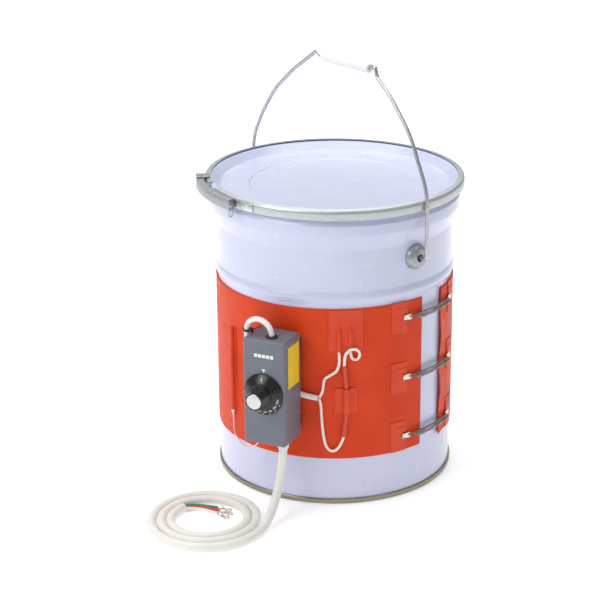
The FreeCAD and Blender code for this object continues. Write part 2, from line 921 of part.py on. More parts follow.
def make_fuse_lead():
    route = over_mat([(4.4, 3.4, 190), (5.1, 5.6, 197.6), (7.3, 7.6, 203), (10.2, 5.4, 201.2),
                      (11.6, 2.7, 194.4), (10.9, 2.3, 188.4), (8.9, 2.3, 187.2), (7.4, 2.3, 190.8)])
    end = polar(bump_right_az, lead_axis_r(), patch_low - butt_gap)
    return tube("fuse_lead", [upper_sleeve_end() + UP * butt_gap] + route + [end], lead_r)


def make_lower_sleeve():
    low, high = fuse_ends()
    middle = [polar(4.5, sleeve_axis_r(), 102), polar(5.2, sleeve_axis_r(), 114)]
    points = [lower_sleeve_start()] + middle + [polar(fuse_az, sleeve_axis_r(), low - butt_gap)]
    return tube("lower_sleeve", points, sleeve_r)


def make_upper_sleeve():
    low, high = fuse_ends()
    middle = [polar(5.25, sleeve_axis_r(), 156), polar(4.7, sleeve_axis_r(), 169)]
    points = [polar(fuse_az, sleeve_axis_r(), high + butt_gap)] + middle + [upper_sleeve_end()]
    return tube("upper_sleeve", points, sleeve_r)


# Thermostat box, drawn facing the front and then turned to its azimuth

def box_point(x, n, z):
    across = polar(case_az + 90, x, 0)
    return polar(case_az, n, z) + across


def block(x0, x1, n0, n1, z0, z1):
    return Part.makeBox(x1 - x0, n1 - n0, z1 - z0, V(x0, -n1, z0))


def facing(radius, x, z, n0, n1):
    return Part.makeCylinder(radius, n1 - n0, V(x, -n0, z), V(0, -1, 0))


def post_places():
    return [(sx * post_x, z) for sx in (-1, 1) for z in (case_low + post_z, case_high - post_z)]


def make_case():
    half = case_w / 2
    inner_n = case_back + back_t
    shell = block(-half, half, inner_n, case_face, case_low, case_high)
    sharp = []
    for e in shell.Edges:
        p = e.CenterOfMass
        front = abs(p.y + case_face) < 0.01
        corner = abs(abs(p.x) - half) < 0.01 and abs(e.Length - (case_face - inner_n)) < 0.01
        if front or corner:
            sharp.append(e)
    shell = shell.makeFillet(case_round, sharp)
    w = case_wall
    shell = shell.cut(block(-half + w, half - w, inner_n - 1, case_face - w, case_low + w, case_high - w))
    posts = [facing(post_r, x, z, inner_n, case_face - w) for x, z in post_places()]
    shell = shell.fuse(posts).removeSplitter()
    for x, z in post_places():
        shell = shell.cut(facing(screw_r + skin_gap, x, z, inner_n - 1, inner_n + screw_len))
    shell = shell.cut(facing(bushing_r + skin_gap, 0, knob_z, case_face - 2 * w, case_face + 1))
    for radius, x, n, z in ((bush_neck_r, top_bush_x, top_bush_n, case_high - 2 * w),
                            (gland_neck_r, gland_x, gland_n, case_low - w),
                            (capillary_r + seat_gap, inlet_x, inlet_n, case_low - w)):
        shell = shell.cut(Part.makeCylinder(radius, 3 * w, V(x, -n, z)))
    return turned(shell, case_az)


def make_back():
    half = case_w / 2
    plate = block(-half, half, case_back, case_back + back_t, case_low, case_high)
    upright_edges = [e for e in plate.Edges if abs(e.Length - back_t) < 0.01]
    plate = plate.makeFillet(case_round, upright_edges)
    for x, z in post_places():
        plate = plate.cut(facing(screw_r + skin_gap, x, z, case_back - 1, case_back + back_t + 1))
    return turned(plate, case_az)


def make_screws():
    screws = []
    for x, z in post_places():
        shank = facing(screw_r, x, z, case_back, case_back + back_t + screw_len)
        head = facing(screw_head_r, x, z, case_back - screw_head_h, case_back)
        screws.append(turned(shank.fuse(head).removeSplitter(), case_az))
    return Part.Compound(screws)


def make_feet():
    feet = []
    half = foot_w / 2
    for x in (-foot_x, foot_x):
        for z in (case_low + foot_z, case_high - foot_z):
            foot = block(x - half, x + half, body_r - foot_w, case_back, z - half, z + half)
            foot = foot.cut(Part.makeCylinder(mat_out + skin_gap, foot_w * 2, V(0, 0, z - foot_w)))
            feet.append(turned(foot, case_az))
    return Part.Compound(feet)


def make_top_bushing():
    seat = V(top_bush_x, -top_bush_n, case_high)
    lip = bush_flange / 2
    flange = cylinder(bush_r, seat, seat + UP * lip)
    crown = cone(bush_r, bush_r - lip, seat + UP * lip, seat + UP * bush_flange)
    neck = cylinder(bush_neck_r - skin_gap, seat - UP * bush_neck, seat)
    bore = cylinder(cable_r + skin_gap, seat - UP * bush_neck * 2, seat + UP * bush_flange * 2)
    return turned(flange.fuse([crown, neck]).removeSplitter().cut(bore), case_az)


def make_gland():
    seat = V(gland_x, -gland_n, case_low)
    shoulder = seat - UP * gland_flange
    tip = shoulder - UP * gland_taper
    flange = cylinder(gland_r, seat, shoulder)
    neck = cylinder(gland_neck_r - skin_gap, seat, seat + UP * gland_neck)
    taper = cone(gland_neck_r, gland_tip_r, shoulder, tip)
    bore = cylinder(cord_r + skin_gap, tip - UP, seat + UP * gland_neck * 2)
    return turned(flange.fuse([neck, taper]).removeSplitter().cut(bore), case_az)


def make_thermostat():
    back = case_face - case_wall
    body = facing(stat_r, 0, knob_z, back - stat_len, back)
    body = body.fuse(facing(bushing_r, 0, knob_z, back, case_face + knob_gap / 2)).removeSplitter()
    bore = facing(spindle_r + run_gap, 0, knob_z, back - spindle_len / 2, case_face + 2)
    return turned(body.cut(bore), case_az)


def spindle_profile(extra, n0, n1):
    rod = facing(spindle_r + extra, 0, knob_z, n0, n1)
    flat = block(-spindle_r - 2, spindle_r + 2, case_face + knob_gap, n1 + 1,
                 knob_z + spindle_flat + extra, knob_z + spindle_r + 2)
    return rod.cut(flat)


def make_spindle():
    start = case_face - case_wall - spindle_len / 2 + 0.5
    return turned(spindle_profile(0.0, start, case_face + knob_gap + spindle_len), case_az)


def make_knob():
    rim = case_face + knob_gap
    top = rim + knob_h
    skirt = facing(skirt_r, 0, knob_z, rim, rim + skirt_edge)
    dish = cone(skirt_r, knob_base_r + 1.0, V(0, -rim - skirt_edge, knob_z), V(0, -rim - skirt_h, knob_z))
    wires = []
    for radius, n in ((knob_base_r, rim + skirt_edge), (knob_top_r, top)):
        wires.append(polygon_wire(knob_sides, radius, V(0, -n, knob_z), V(1, 0, 0), UP))
    grip = Part.makeLoft(wires, True, True)
    knob = skirt.fuse([dish, grip]).removeSplitter()
    knob = knob.cut(facing(cap_r + skin_gap, 0, knob_z, top - cap_h, top + 1))
    hub = spindle_profile(skin_gap / 2, rim - 1, rim + spindle_len + 0.3)
    return turned(knob.cut(hub), case_az)


def make_cap():
    top = case_face + knob_gap + knob_h
    disc = facing(cap_r, 0, knob_z, top - cap_h, top)
    crown = cone(cap_r, cap_r - cap_crown, V(0, -top, knob_z), V(0, -top - cap_crown, knob_z))
    return turned(disc.fuse(crown).removeSplitter(), case_az)


def make_terminal_block():
    n = case_back + back_t
    base = block(-block_w / 2 - 3, block_w / 2 - 3, n, n + block_d, block_z, block_z + block_h)
    for i in range(4):
        x = -block_w / 2 - 3 + block_w * (i + 0.5) / 4
        base = base.cut(facing(2.2, x, block_z + block_h / 2, n + 4, n + block_d + 1))
    return turned(base, case_az)


# Output cable: up out of the box, over, and behind it to the leads. Its points are (across,
# depth behind the box's face, height over the box's top).

def output_points():
    route = [(top_bush_x, top_bush_in, bush_flange), (2.4, 15.6, 12.3), (-4.0, 16.0, 20.9),
             (-14.0, 16.4, 24.5), (-24.2, 17.0, 20.8), (-30.2, 18.0, 10.3), (-31.6, 20.4, -6.2),
             (-32.0, 26.0, -19.7), (-33.2, 33.6, -32.7), (-33.2, 41.4, -44.7), (-28.0, 46.8, -54.5),
             (-17.0, 47.1, -62.1), (-4.5, 46.9, -68.5), (8.5, 46.9, -74.5), (21.0, 47.7, -79.5),
             (32.4, 50.0, -82.1), (43.4, 54.0, -84.2)]
    return [box_point(x, case_face - depth, case_high + rise) for x, depth, rise in route]


def make_output_cable():
    return tube("output_cable", output_points(), cable_r)


def make_tie():
    points = output_points()
    way = points[5] - points[6]
    way.normalize()
    low = points[6] + way * tie_up
    high = low + way * tie_w
    inner = cable_r + tie_bore_gap
    band = cylinder(inner + tie_t, low, high).cut(cylinder(inner, low - way, high + way))
    head = block(inner + 0.2, inner + 0.2 + tie_head, -tie_w, tie_w, -0.8, tie_w + 0.8)
    tail = block(0, tie_t, -tie_w / 2, tie_w / 2, 0, tie_tail)
    tail.rotate(V(0, 0, 0), V(0, 1, 0), tie_tilt)
    tail.translate(V(inner + tie_head, 0, tie_w))
    knot = turned(head.fuse(tail), case_az)
    knot.translate(low)
    return band.fuse(knot).removeSplitter()


# Mains lead: down from the gland to the floor, then a flat spiral

def gland_tip():
    return box_point(gland_x, gland_n, case_low - gland_flange - gland_taper)


def coil_centre():
    return V(gland_tip().x - coil_left, gland_tip().y - coil_front, 0)


def coil_point(turn, offset=0.0):
    a = math.radians(coil_start - 360 * turn)
    r = coil_start_r - coil_pitch * turn + offset
    return coil_centre() + V(r * math.cos(a), r * math.sin(a), cord_r)


# The fall's points are (right, back) from the gland's tip and their height over the floor
def make_cord():
    gland = gland_tip()
    fall = [(-0.46, -1.55, 52.9), (-3.56, -10.15, 31.2), (-9.46, -25.75, 14.5), (-19.46, -45.55, cord_r)]
    middle = [V(gland.x + x, gland.y + y, z) for x, y, z in fall]
    return tube("mains_cord", [gland] + middle + [coil_point(0)], cord_r)


def half_turn(first, last, offset):
    start = coil_point(first, offset)
    end = coil_point(last, offset)
    quarter = coil_point((first + last) / 2, offset)
    return Part.Arc(start, quarter, end).toShape()


def make_coil():
    out = coil_pitch / 2
    edges = [half_turn(0, 0.5, out), half_turn(0.5, 1.0, out)]
    edges.append(Part.LineSegment(coil_point(1.0, out), coil_point(0, out)).toShape())
    inner = coil_turns - 1.0
    hole = [half_turn(inner, inner + 0.5, -out), half_turn(coil_turns - 0.5, coil_turns, -out)]
    hole.append(Part.LineSegment(coil_point(coil_turns, -out), coil_point(inner, -out)).toShape())
    outer_face = Part.Face(Part.Wire(Part.__sortEdges__(edges)))
    inner_face = Part.Face(Part.Wire(Part.__sortEdges__(hole)))
    plan = outer_face.cut(inner_face)
    plan.translate(V(0, 0, -cord_r))
    return plan.extrude(V(0, 0, 2 * cord_r))


# Bare cores inside the coil, each with a ring terminal. Points are from the coil's centre.
def core_points(colour):
    routes = {"green": (1, [(-24, 37, 4.6), (-13, 40.4, 3), (0, 39, 2), (12, 35.2, 2.3)]),
              "red": (0, [(-22.3, 33.2, 4.4), (-11.5, 36.2, 2.8), (1, 33.4, 2), (14.5, 27, 2.3)]),
              "white": (-1, [(-20.5, 29.8, 4.2), (-10.5, 31.5, 2.6), (1, 27.2, 2), (12, 19.5, 2.3)])}
    side, places = routes[colour]
    middle = [coil_centre() + V(x, y, z) for x, y, z in places]
    a = math.radians(coil_end)
    clear = V(math.sin(a), -math.cos(a), 0) * core_gap
    return [coil_point(coil_turns, side * core_pitch) + clear] + middle


def make_core(colour):
    return tube("core_" + colour, core_points(colour), core_r)


def make_tag(colour):
    before, end = core_points(colour)[-2:]
    way = V(end.x - before.x, end.y - before.y, 0)
    way.normalize()
    side = V(-way.y, way.x, 0) * tag_neck
    drop = UP * (tag_barrel_r - tag_lift)
    barrel = cylinder(tag_barrel_r, end, end + way * tag_barrel)
    start = end + way * (tag_barrel - 1.0) - drop
    centre = end + way * tag_reach - drop
    root = centre - way * (tag_r + tag_hole_r) / 2
    tongue = Part.Face(loop([start + side, start - side, root - side, root + side]))
    ring = Part.makeCylinder(tag_r, tag_t, centre).cut(Part.makeCylinder(tag_hole_r, tag_t, centre))
    return barrel.fuse([ring, tongue.extrude(UP * tag_t)]).removeSplitter()


def main():
    os.makedirs("parts", exist_ok=True)
    save(make_body(), "pail_body")
    save(make_bottom(), "pail_bottom")
    save(make_lid(), "lid")
    save(make_gasket(), "lid_gasket")
    save(make_ring(), "lock_ring")
    save(make_latch_bracket(), "latch_bracket")
    save(Part.Compound([make_fulcrum_pin(), make_hook_pin()]), "ring_pins")
    save(make_lever(), "latch_lever")
    save(make_link_pin(), "link_pin")
    save(make_link(), "hook_link")
    save(make_hook_bracket(), "hook_bracket")
    save(make_catch(), "lever_catch")
    save(make_clip(), "clip_loop")
    save(make_bail(), "bail_wire")
    save(make_grip(), "bail_grip")
    save(make_ear(bail_az), "ear_right")
    save(make_ear(bail_az + 180), "ear_left")
    save(make_mat(), "heater_mat")
    hooks_left, hooks_right = [], []
    for row in range(pad_rows):
        number = str(row + 1)
        save(make_pad(pad_left_az, 1, row), "hook_pad_left_" + number)
        save(make_pad(pad_right_az, -1, row), "hook_pad_right_" + number)
        save(make_spring(row), "band_spring_" + number)
        hooks_left.append(make_hook(pad_left_az, 1, row))
        hooks_right.append(make_hook(pad_right_az, -1, row))
    save(Part.Compound(hooks_left), "hooks_left")
    save(Part.Compound(hooks_right), "hooks_right")
    save(make_lead_patch(), "lead_patch")
    save(make_fuse_pad(), "fuse_pad")
    save(make_fuse(), "thermal_fuse")
    save(make_lower_sleeve(), "sleeve_lower")
    save(make_upper_sleeve(), "sleeve_upper")
    save(make_upper_lead(), "upper_lead")
    save(make_lower_lead(), "lower_lead")
    save(make_fuse_lead(), "fuse_lead")
    save(make_pocket(), "sensor_pocket")
    save(make_sensor(), "sensor_capillary")
    save(make_case(), "case_body")
    save(make_back(), "case_back")
    save(make_screws(), "case_screws")
    save(make_feet(), "case_feet")
    save(make_top_bushing(), "top_bushing")
    save(make_gland(), "cord_gland")
    save(make_thermostat(), "thermostat_body")
    save(make_spindle(), "thermostat_spindle")
    save(make_knob(), "dial_knob")
    save(make_cap(), "knob_cap")
    save(make_terminal_block(), "terminal_block")
    save(make_output_cable(), "output_cable")
    save(make_tie(), "cable_tie")
    save(make_cord(), "mains_cord")
    save(make_coil(), "mains_cord_coil")
    for colour in ("green", "red", "white"):
        save(make_core(colour), "core_" + colour)
        save(make_tag(colour), "ring_terminal_" + colour)


main()
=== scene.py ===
import bpy
import math
from mathutils import Matrix, Vector


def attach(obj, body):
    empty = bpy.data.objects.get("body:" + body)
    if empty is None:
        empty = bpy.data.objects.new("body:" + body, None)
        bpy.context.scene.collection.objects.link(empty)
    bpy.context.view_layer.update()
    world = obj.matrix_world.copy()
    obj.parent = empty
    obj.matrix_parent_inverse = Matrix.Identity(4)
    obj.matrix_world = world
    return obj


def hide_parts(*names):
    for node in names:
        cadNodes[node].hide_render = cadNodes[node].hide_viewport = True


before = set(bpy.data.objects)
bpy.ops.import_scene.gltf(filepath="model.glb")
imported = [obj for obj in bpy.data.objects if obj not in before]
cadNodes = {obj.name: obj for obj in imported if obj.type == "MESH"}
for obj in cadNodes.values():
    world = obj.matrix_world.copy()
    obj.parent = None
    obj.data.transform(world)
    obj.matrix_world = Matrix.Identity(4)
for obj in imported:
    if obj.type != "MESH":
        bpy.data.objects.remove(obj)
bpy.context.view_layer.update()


# Millimetres and an azimuth from the front towards +X in, metres out
def polar(azimuth, radius, height):
    angle = math.radians(azimuth)
    return Vector((radius * math.sin(angle), -radius * math.cos(angle), height)) / 1000


caseAzimuth = -24.6


# A place across the thermostat box, out from the pail's axis and up
def boxPoint(across, out, height):
    return polar(caseAzimuth, out, height) + polar(caseAzimuth + 90, across, 0)


def addObject(name, data):
    made = bpy.data.objects.new(name, data)
    bpy.context.scene.collection.objects.link(made)
    return made


# Camera, floor and lamps; a lamp has its place, its aim, its size and its power
studio = {
    "camera": (0.0, -2.1728, 1.0121), "pitch": 0.354, "lens": 112.59, "shift": -0.05963, "sight": 50,
    "world": 0.36, "floorSize": 14, "floorPlace": (0, 2, -0.0002),
    "floor": {"Base Color": (0.94, 0.94, 0.945, 1), "Roughness": 0.9,
              "Emission Color": (1, 1, 1, 1), "Emission Strength": 0.31},
    "lamps": (((-1.8, -1.3, 1.9), (0, 0, 0.2), 1.4, 26),
              ((0.0, 0.5, 2.6), (0, 0.1, 0.3), 2.8, 56),
              ((0.0, 5.4, 3.0), (0, 6.4, 0), 3.0, 80)),
}


def setStudio():
    camera = addObject("camera", bpy.data.cameras.new("camera"))
    camera.location = studio["camera"]
    camera.rotation_euler = (math.pi / 2 - studio["pitch"], 0, 0)
    camera.data.lens = studio["lens"]
    camera.data.shift_x = studio["shift"]
    camera.data.clip_end = studio["sight"]
    bpy.context.scene.camera = camera
    bpy.context.scene.view_settings.view_transform = "Standard"
    world = bpy.data.worlds.new("studio")
    world.use_nodes = True
    world.node_tree.nodes["Background"].inputs["Color"].default_value = (1, 1, 1, 1)
    world.node_tree.nodes["Background"].inputs["Strength"].default_value = studio["world"]
    bpy.context.scene.world = world
    bpy.ops.mesh.primitive_plane_add(size=studio["floorSize"], location=studio["floorPlace"])
    floor = bpy.context.object
    floor.name = "floor"
    paper = bpy.data.materials.new("floorPaper")
    paper.use_nodes = True
    for socket, value in studio["floor"].items():
        paper.node_tree.nodes["Principled BSDF"].inputs[socket].default_value = value
    floor.data.materials.append(paper)
    for place, aim, size, power in studio["lamps"]:
        lamp = addObject("softbox", bpy.data.lights.new("softbox", "AREA"))
        lamp.data.size = size
        lamp.data.energy = power
        lamp.location = place
        lamp.rotation_euler = (Vector(aim) - Vector(place)).to_track_quat("-Z", "Y").to_euler()


setStudio()
print("studio set")


# Cords: each is one smooth line through the points of its real lie
def cordLine(name, points, radius):
    curve = bpy.data.curves.new(name, "CURVE")
    curve.dimensions = "3D"
    spline = curve.splines.new("NURBS")
    spline.points.add(len(points) - 1)
    for spot, point in zip(spline.points, points):
        spot.co = (*point, 1)
    spline.order_u = 3
    spline.use_endpoint_u = True
    spline.resolution_u = 12
    curve.bevel_depth = radius / 1000
    curve.bevel_resolution = 5
    curve.use_fill_caps = True
    return addObject(name, curve)


matSkin = 145.65

# Leads on the band: azimuth, lift off the band and height of each point
leads = {
    "radius": 1.7,
    "upperLead": [(-7.0, 3.0, 140.3), (-5.7, 2.4, 145.0), (-5.2, 2.3, 153.5), (-4.9, 2.3, 163.5),
                  (-2.2, 2.3, 168.0), (0.8, 2.3, 172.5), (2.0, 2.3, 181), (2.2, 2.3, 190), (1.9, 2.25, 198)],
    "lowerLead": [(-7.0, 3.0, 138.5), (-6.3, 2.4, 131), (-6.1, 2.3, 119), (-5.7, 2.3, 103),
                  (-5.0, 2.3, 88), (-3.9, 2.3, 76), (-1.4, 2.3, 70), (1.2, 2.4, 73),
                  (3.1, 2.7, 81), (4.15, 2.9, 89.6)],
    "fuseLead": [(4.4, 2.9, 180.5), (4.4, 3.4, 190), (5.1, 5.6, 197.6), (7.3, 7.6, 203),
                 (10.2, 5.4, 201.2), (11.6, 2.7, 194.4), (10.9, 2.3, 188.4), (8.9, 2.3, 187.2),
                 (7.4, 2.3, 190.8), (7.1, 2.25, 198)],
}
outputCable = {
    "radius": 3.3,
    "route": [(3.6, 181.5, 225.5), (2.2, 181.4, 233.5), (-4.4, 181, 240.4), (-14, 180.6, 243.4),
              (-23.8, 180, 240.6), (-30.0, 179, 232.5), (-31.6, 176.6, 217.5), (-32.0, 171, 204),
              (-33.2, 163.4, 191), (-33.2, 155.6, 179), (-28, 150.2, 169.2), (-17, 149.9, 161.6),
              (-4.5, 150.1, 155.2), (8.5, 150.1, 149.2), (21, 149.3, 144.2), (32.4, 147, 141.6),
              (43.4, 143, 139.5)],
}
mainsCord = {
    "radius": 5.25,
    "exit": (14, 176, 83.7),
    "fall": [(-62.8, -168.0, 52.9), (-67.6, -178.0, 31.2), (-74.0, -196.0, 14.5), (-82.0, -217.0, 5.25)],
    "coilCentre": (-151.0, -195.0), "startAngle": -33.0, "endAngle": 135.0, "rounds": 3,
    "startRadius": 68.5, "pitch": 10.6, "pointsEachTurn": 16, "spread": (0.035, 0.075), "forward": 1.5,
}
cores = {
    "radius": 1.65, "pitch": 3.5,
    "green": (1, [(-24, 37, 4.6), (-13, 40.4, 3), (0, 39, 2), (12, 35.2, 2.3)]),
    "red": (0, [(-22.3, 33.2, 4.4), (-11.5, 36.2, 2.8), (1, 33.4, 2), (14.5, 27, 2.3)]),
    "white": (-1, [(-20.5, 29.8, 4.2), (-10.5, 31.5, 2.6), (1, 27.2, 2), (12, 19.5, 2.3)]),
}


# The outer turns lie wider and further forward than the CAD's, as the photograph shows them
def coilPoint(turn, aside=0.0, loose=0.0):
    angle = math.radians(mainsCord["startAngle"] - 360 * turn)
    radius = mainsCord["startRadius"] - mainsCord["pitch"] * turn + aside
    x, y = mainsCord["coilCentre"]
    wide, deep = mainsCord["spread"]
    return Vector((x + radius * (1 + wide * loose) * math.cos(angle),
                   y + radius * (1 + deep * loose) * math.sin(angle) - mainsCord["forward"] * loose,
                   mainsCord["radius"])) / 1000


def layCords():
    made = {}
    for name in ("upperLead", "lowerLead", "fuseLead"):
        points = [polar(azimuth, matSkin + lift, z) for azimuth, lift, z in leads[name]]
        made[name] = cordLine(name, points, leads["radius"])
    points = [boxPoint(*spot) for spot in outputCable["route"]]
    made["outputCable"] = cordLine("outputCable", points, outputCable["radius"])
    turns = mainsCord["rounds"] - (mainsCord["endAngle"] - mainsCord["startAngle"]) / 360
    count = round(turns * mainsCord["pointsEachTurn"])
    points = [boxPoint(*mainsCord["exit"])] + [Vector(spot) / 1000 for spot in mainsCord["fall"]]
    points += [coilPoint(turns * i / count, 0, 1 - i / count) for i in range(count)]
    points.append(coilPoint(turns))
    made["mainsCord"] = cordLine("mainsCord", points, mainsCord["radius"])
    x, y = mainsCord["coilCentre"]
    for colour in ("green", "red", "white"):
        side, spots = cores[colour]
        points = [coilPoint(turns, side * cores["pitch"])]
        points += [Vector((x + a, y + b, z)) / 1000 for a, b, z in spots]
        made[colour] = cordLine(colour + "Core", points, cores["radius"])
    return made


cords = layCords()
print("cords laid:", len(cords))


# Finishes. Patterns read Object coordinates, which are the frame's own metres on every piece.
def shaderOf(finish):
    return finish.node_tree.nodes["Principled BSDF"]


def newFinish(name, colour, roughness, **sockets):
    finish = bpy.data.materials.new(name)
    finish.use_nodes = True
    shader = shaderOf(finish)
    shader.inputs["Base Color"].default_value = (*colour, 1)
    shader.inputs["Roughness"].default_value = roughness
    for key, value in sockets.items():
        shader.inputs[key.replace("_", " ")].default_value = value
    return finish


def addNode(finish, kind, inputs, **settings):
    node = finish.node_tree.nodes.new(kind)
    for key, value in settings.items():
        setattr(node, key, value)
    for key, value in inputs.items():
        if isinstance(value, bpy.types.NodeSocket):
            finish.node_tree.links.new(value, node.inputs[key])
        else:
            node.inputs[key].default_value = value
    return node


def maths(finish, operation, first, second=0.0):
    return addNode(finish, "ShaderNodeMath", {0: first, 1: second}, operation=operation).outputs[0]


def spotOf(finish):
    return addNode(finish, "ShaderNodeTexCoord", {}).outputs["Object"]


def fromAxis(finish, first, second):
    squares = [maths(finish, "MULTIPLY", side, side) for side in (first, second)]
    return maths(finish, "SQRT", maths(finish, "ADD", *squares))


# Angle, height and radius round the pail's axis
def roundThePail(finish):
    parts = addNode(finish, "ShaderNodeSeparateXYZ", {"Vector": spotOf(finish)}).outputs
    angle = maths(finish, "ARCTAN2", parts["Y"], parts["X"])
    return angle, parts["Z"], fromAxis(finish, parts["X"], parts["Y"])


# Soft noise whose spots are about this many millimetres
def cloud(finish, spot, detail=3.0):
    inputs = {"Vector": spotOf(finish), "Scale": 1000 / spot, "Detail": detail}
    return addNode(finish, "ShaderNodeTexNoise", inputs).outputs["Fac"]


def ranged(finish, value, low, high, start=0.3, end=0.7):
    inputs = {"Value": value, "From Min": start, "From Max": end, "To Min": low, "To Max": high}
    return addNode(finish, "ShaderNodeMapRange", inputs).outputs["Result"]


# A Mix node's colours are its sockets 6 and 7, and its mixed colour is output 2
def colourBetween(finish, factor, first, second):
    inputs = {0: ranged(finish, factor, 0, 1), 6: (*first, 1), 7: (*second, 1)}
    mixed = addNode(finish, "ShaderNodeMix", inputs, data_type="RGBA").outputs[2]
    finish.node_tree.links.new(mixed, shaderOf(finish).inputs["Base Color"])


def roughBetween(finish, factor, low, high):
    finish.node_tree.links.new(ranged(finish, factor, low, high), shaderOf(finish).inputs["Roughness"])


# Raises the surface by the height times so many millimetres, on top of what is raised already
def emboss(finish, height, depth):
    normal = shaderOf(finish).inputs["Normal"]
    inputs = {"Height": height, "Distance": depth / 1000, "Strength": 1.0}
    if normal.is_linked:
        inputs["Normal"] = normal.links[0].from_socket
    bump = addNode(finish, "ShaderNodeBump", inputs)
    finish.node_tree.links.new(bump.outputs["Normal"], normal)


def grain(finish, spot, depth, detail=3.0):
    emboss(finish, cloud(finish, spot, detail), depth)


rollRadius = 150


# Streaks that run round the pail, as on a rolled ring
def rolledStreaks(finish, length, breadth):
    angle, height, out = roundThePail(finish)
    across = {"X": maths(finish, "MULTIPLY", angle, rollRadius / length),
              "Y": maths(finish, "MULTIPLY", height, 1000 / breadth),
              "Z": maths(finish, "MULTIPLY", out, 1000 / breadth)}
    vector = addNode(finish, "ShaderNodeCombineXYZ", across).outputs[0]
    return addNode(finish, "ShaderNodeTexNoise", {"Vector": vector, "Scale": 1.0, "Detail": 4.0}).outputs["Fac"]


# A cloud is the size of its spots and its detail, a grain the size of its spots, its depth and its detail
enamel = {"shades": ((0.625, 0.655, 0.865), (0.65, 0.68, 0.885)), "shadeCloud": (70, 3.0),
          "roughness": (0.20, 0.28), "roughCloud": (24, 3.0),
          "peel": (2.2, 0.0008, 2.0), "sag": (60, 0.010, 1.0)}


def makeEnamel():
    finish = newFinish("lavenderEnamel", enamel["shades"][0], 0.24, Coat_Weight=0.5, Coat_Roughness=0.14,
                       Specular_IOR_Level=0.5)
    colourBetween(finish, cloud(finish, *enamel["shadeCloud"]), *enamel["shades"])
    roughBetween(finish, cloud(finish, *enamel["roughCloud"]), *enamel["roughness"])
    grain(finish, *enamel["sag"])
    grain(finish, *enamel["peel"])
    return finish


zinc = {"shades": ((0.49, 0.525, 0.54), (0.63, 0.66, 0.67)), "streak": (30, 0.7), "mottle": (3.0, 5.0),
        "roughness": (0.36, 0.50), "roughCloud": (5.0, 4.0), "relief": 0.02}


def makeZinc(name="zincPlate", streaks=True, shades=zinc["shades"]):
    finish = newFinish(name, shades[0], 0.36, Metallic=0.85)
    pattern = rolledStreaks(finish, *zinc["streak"]) if streaks else cloud(finish, *zinc["mottle"])
    colourBetween(finish, pattern, *shades)
    roughBetween(finish, cloud(finish, *zinc["roughCloud"]), *zinc["roughness"])
    emboss(finish, pattern, zinc["relief"])
    return finish


wire = {"shades": ((0.42, 0.43, 0.44), (0.60, 0.61, 0.62)), "shadeCloud": (2.4, 5.0),
        "roughness": (0.26, 0.42), "roughCloud": (4.0, 3.0), "grain": (1.2, 0.03)}


def makeWire(name="drawnWire", shades=wire["shades"]):
    finish = newFinish(name, shades[0], 0.3, Metallic=0.9)
    colourBetween(finish, cloud(finish, *wire["shadeCloud"]), *shades)
    roughBetween(finish, cloud(finish, *wire["roughCloud"]), *wire["roughness"])
    grain(finish, *wire["grain"])
    return finish


tinplate = {"shades": ((0.24, 0.215, 0.155), (0.38, 0.345, 0.26)), "streak": (40, 0.9),
            "roughness": (0.24, 0.40), "roughCloud": (8, 3.0), "relief": 0.02}


def makeTinplate():
    finish = newFinish("tinplate", tinplate["shades"][0], 0.32, Metallic=0.9)
    pattern = rolledStreaks(finish, *tinplate["streak"])
    colourBetween(finish, pattern, *tinplate["shades"])
    roughBetween(finish, cloud(finish, *tinplate["roughCloud"]), *tinplate["roughness"])
    emboss(finish, pattern, tinplate["relief"])
    return finish


silicone = {"shades": ((0.69, 0.044, 0.003), (0.77, 0.058, 0.005)), "shadeCloud": (38, 4.0),
            "roughness": (0.44, 0.58), "roughCloud": (9, 3.0), "threadsRound": 760, "threadPitch": 1.2,
            "weave": 0.05, "grain": (0.7, 0.03), "pucker": (28, 0.5, 1.0)}


# Fibreglass cloth pressed into the rubber shows as a fine weave
def makeSilicone(name="redSilicone", weave=True, shades=silicone["shades"]):
    finish = newFinish(name, shades[0], 0.5, Specular_IOR_Level=0.28 if weave else 0.5,
                       Sheen_Weight=0.03, Sheen_Roughness=0.4)
    colourBetween(finish, cloud(finish, *silicone["shadeCloud"]), *shades)
    roughBetween(finish, cloud(finish, *silicone["roughCloud"]), *silicone["roughness"])
    if weave:
        angle, height, _ = roundThePail(finish)
        upright = 2000 * math.pi / silicone["threadPitch"]
        warp = maths(finish, "SINE", maths(finish, "MULTIPLY", angle, silicone["threadsRound"]))
        weft = maths(finish, "SINE", maths(finish, "MULTIPLY", height, upright))
        grain(finish, *silicone["pucker"])
        emboss(finish, maths(finish, "MULTIPLY", warp, weft), silicone["weave"])
    grain(finish, *silicone["grain"])
    return finish


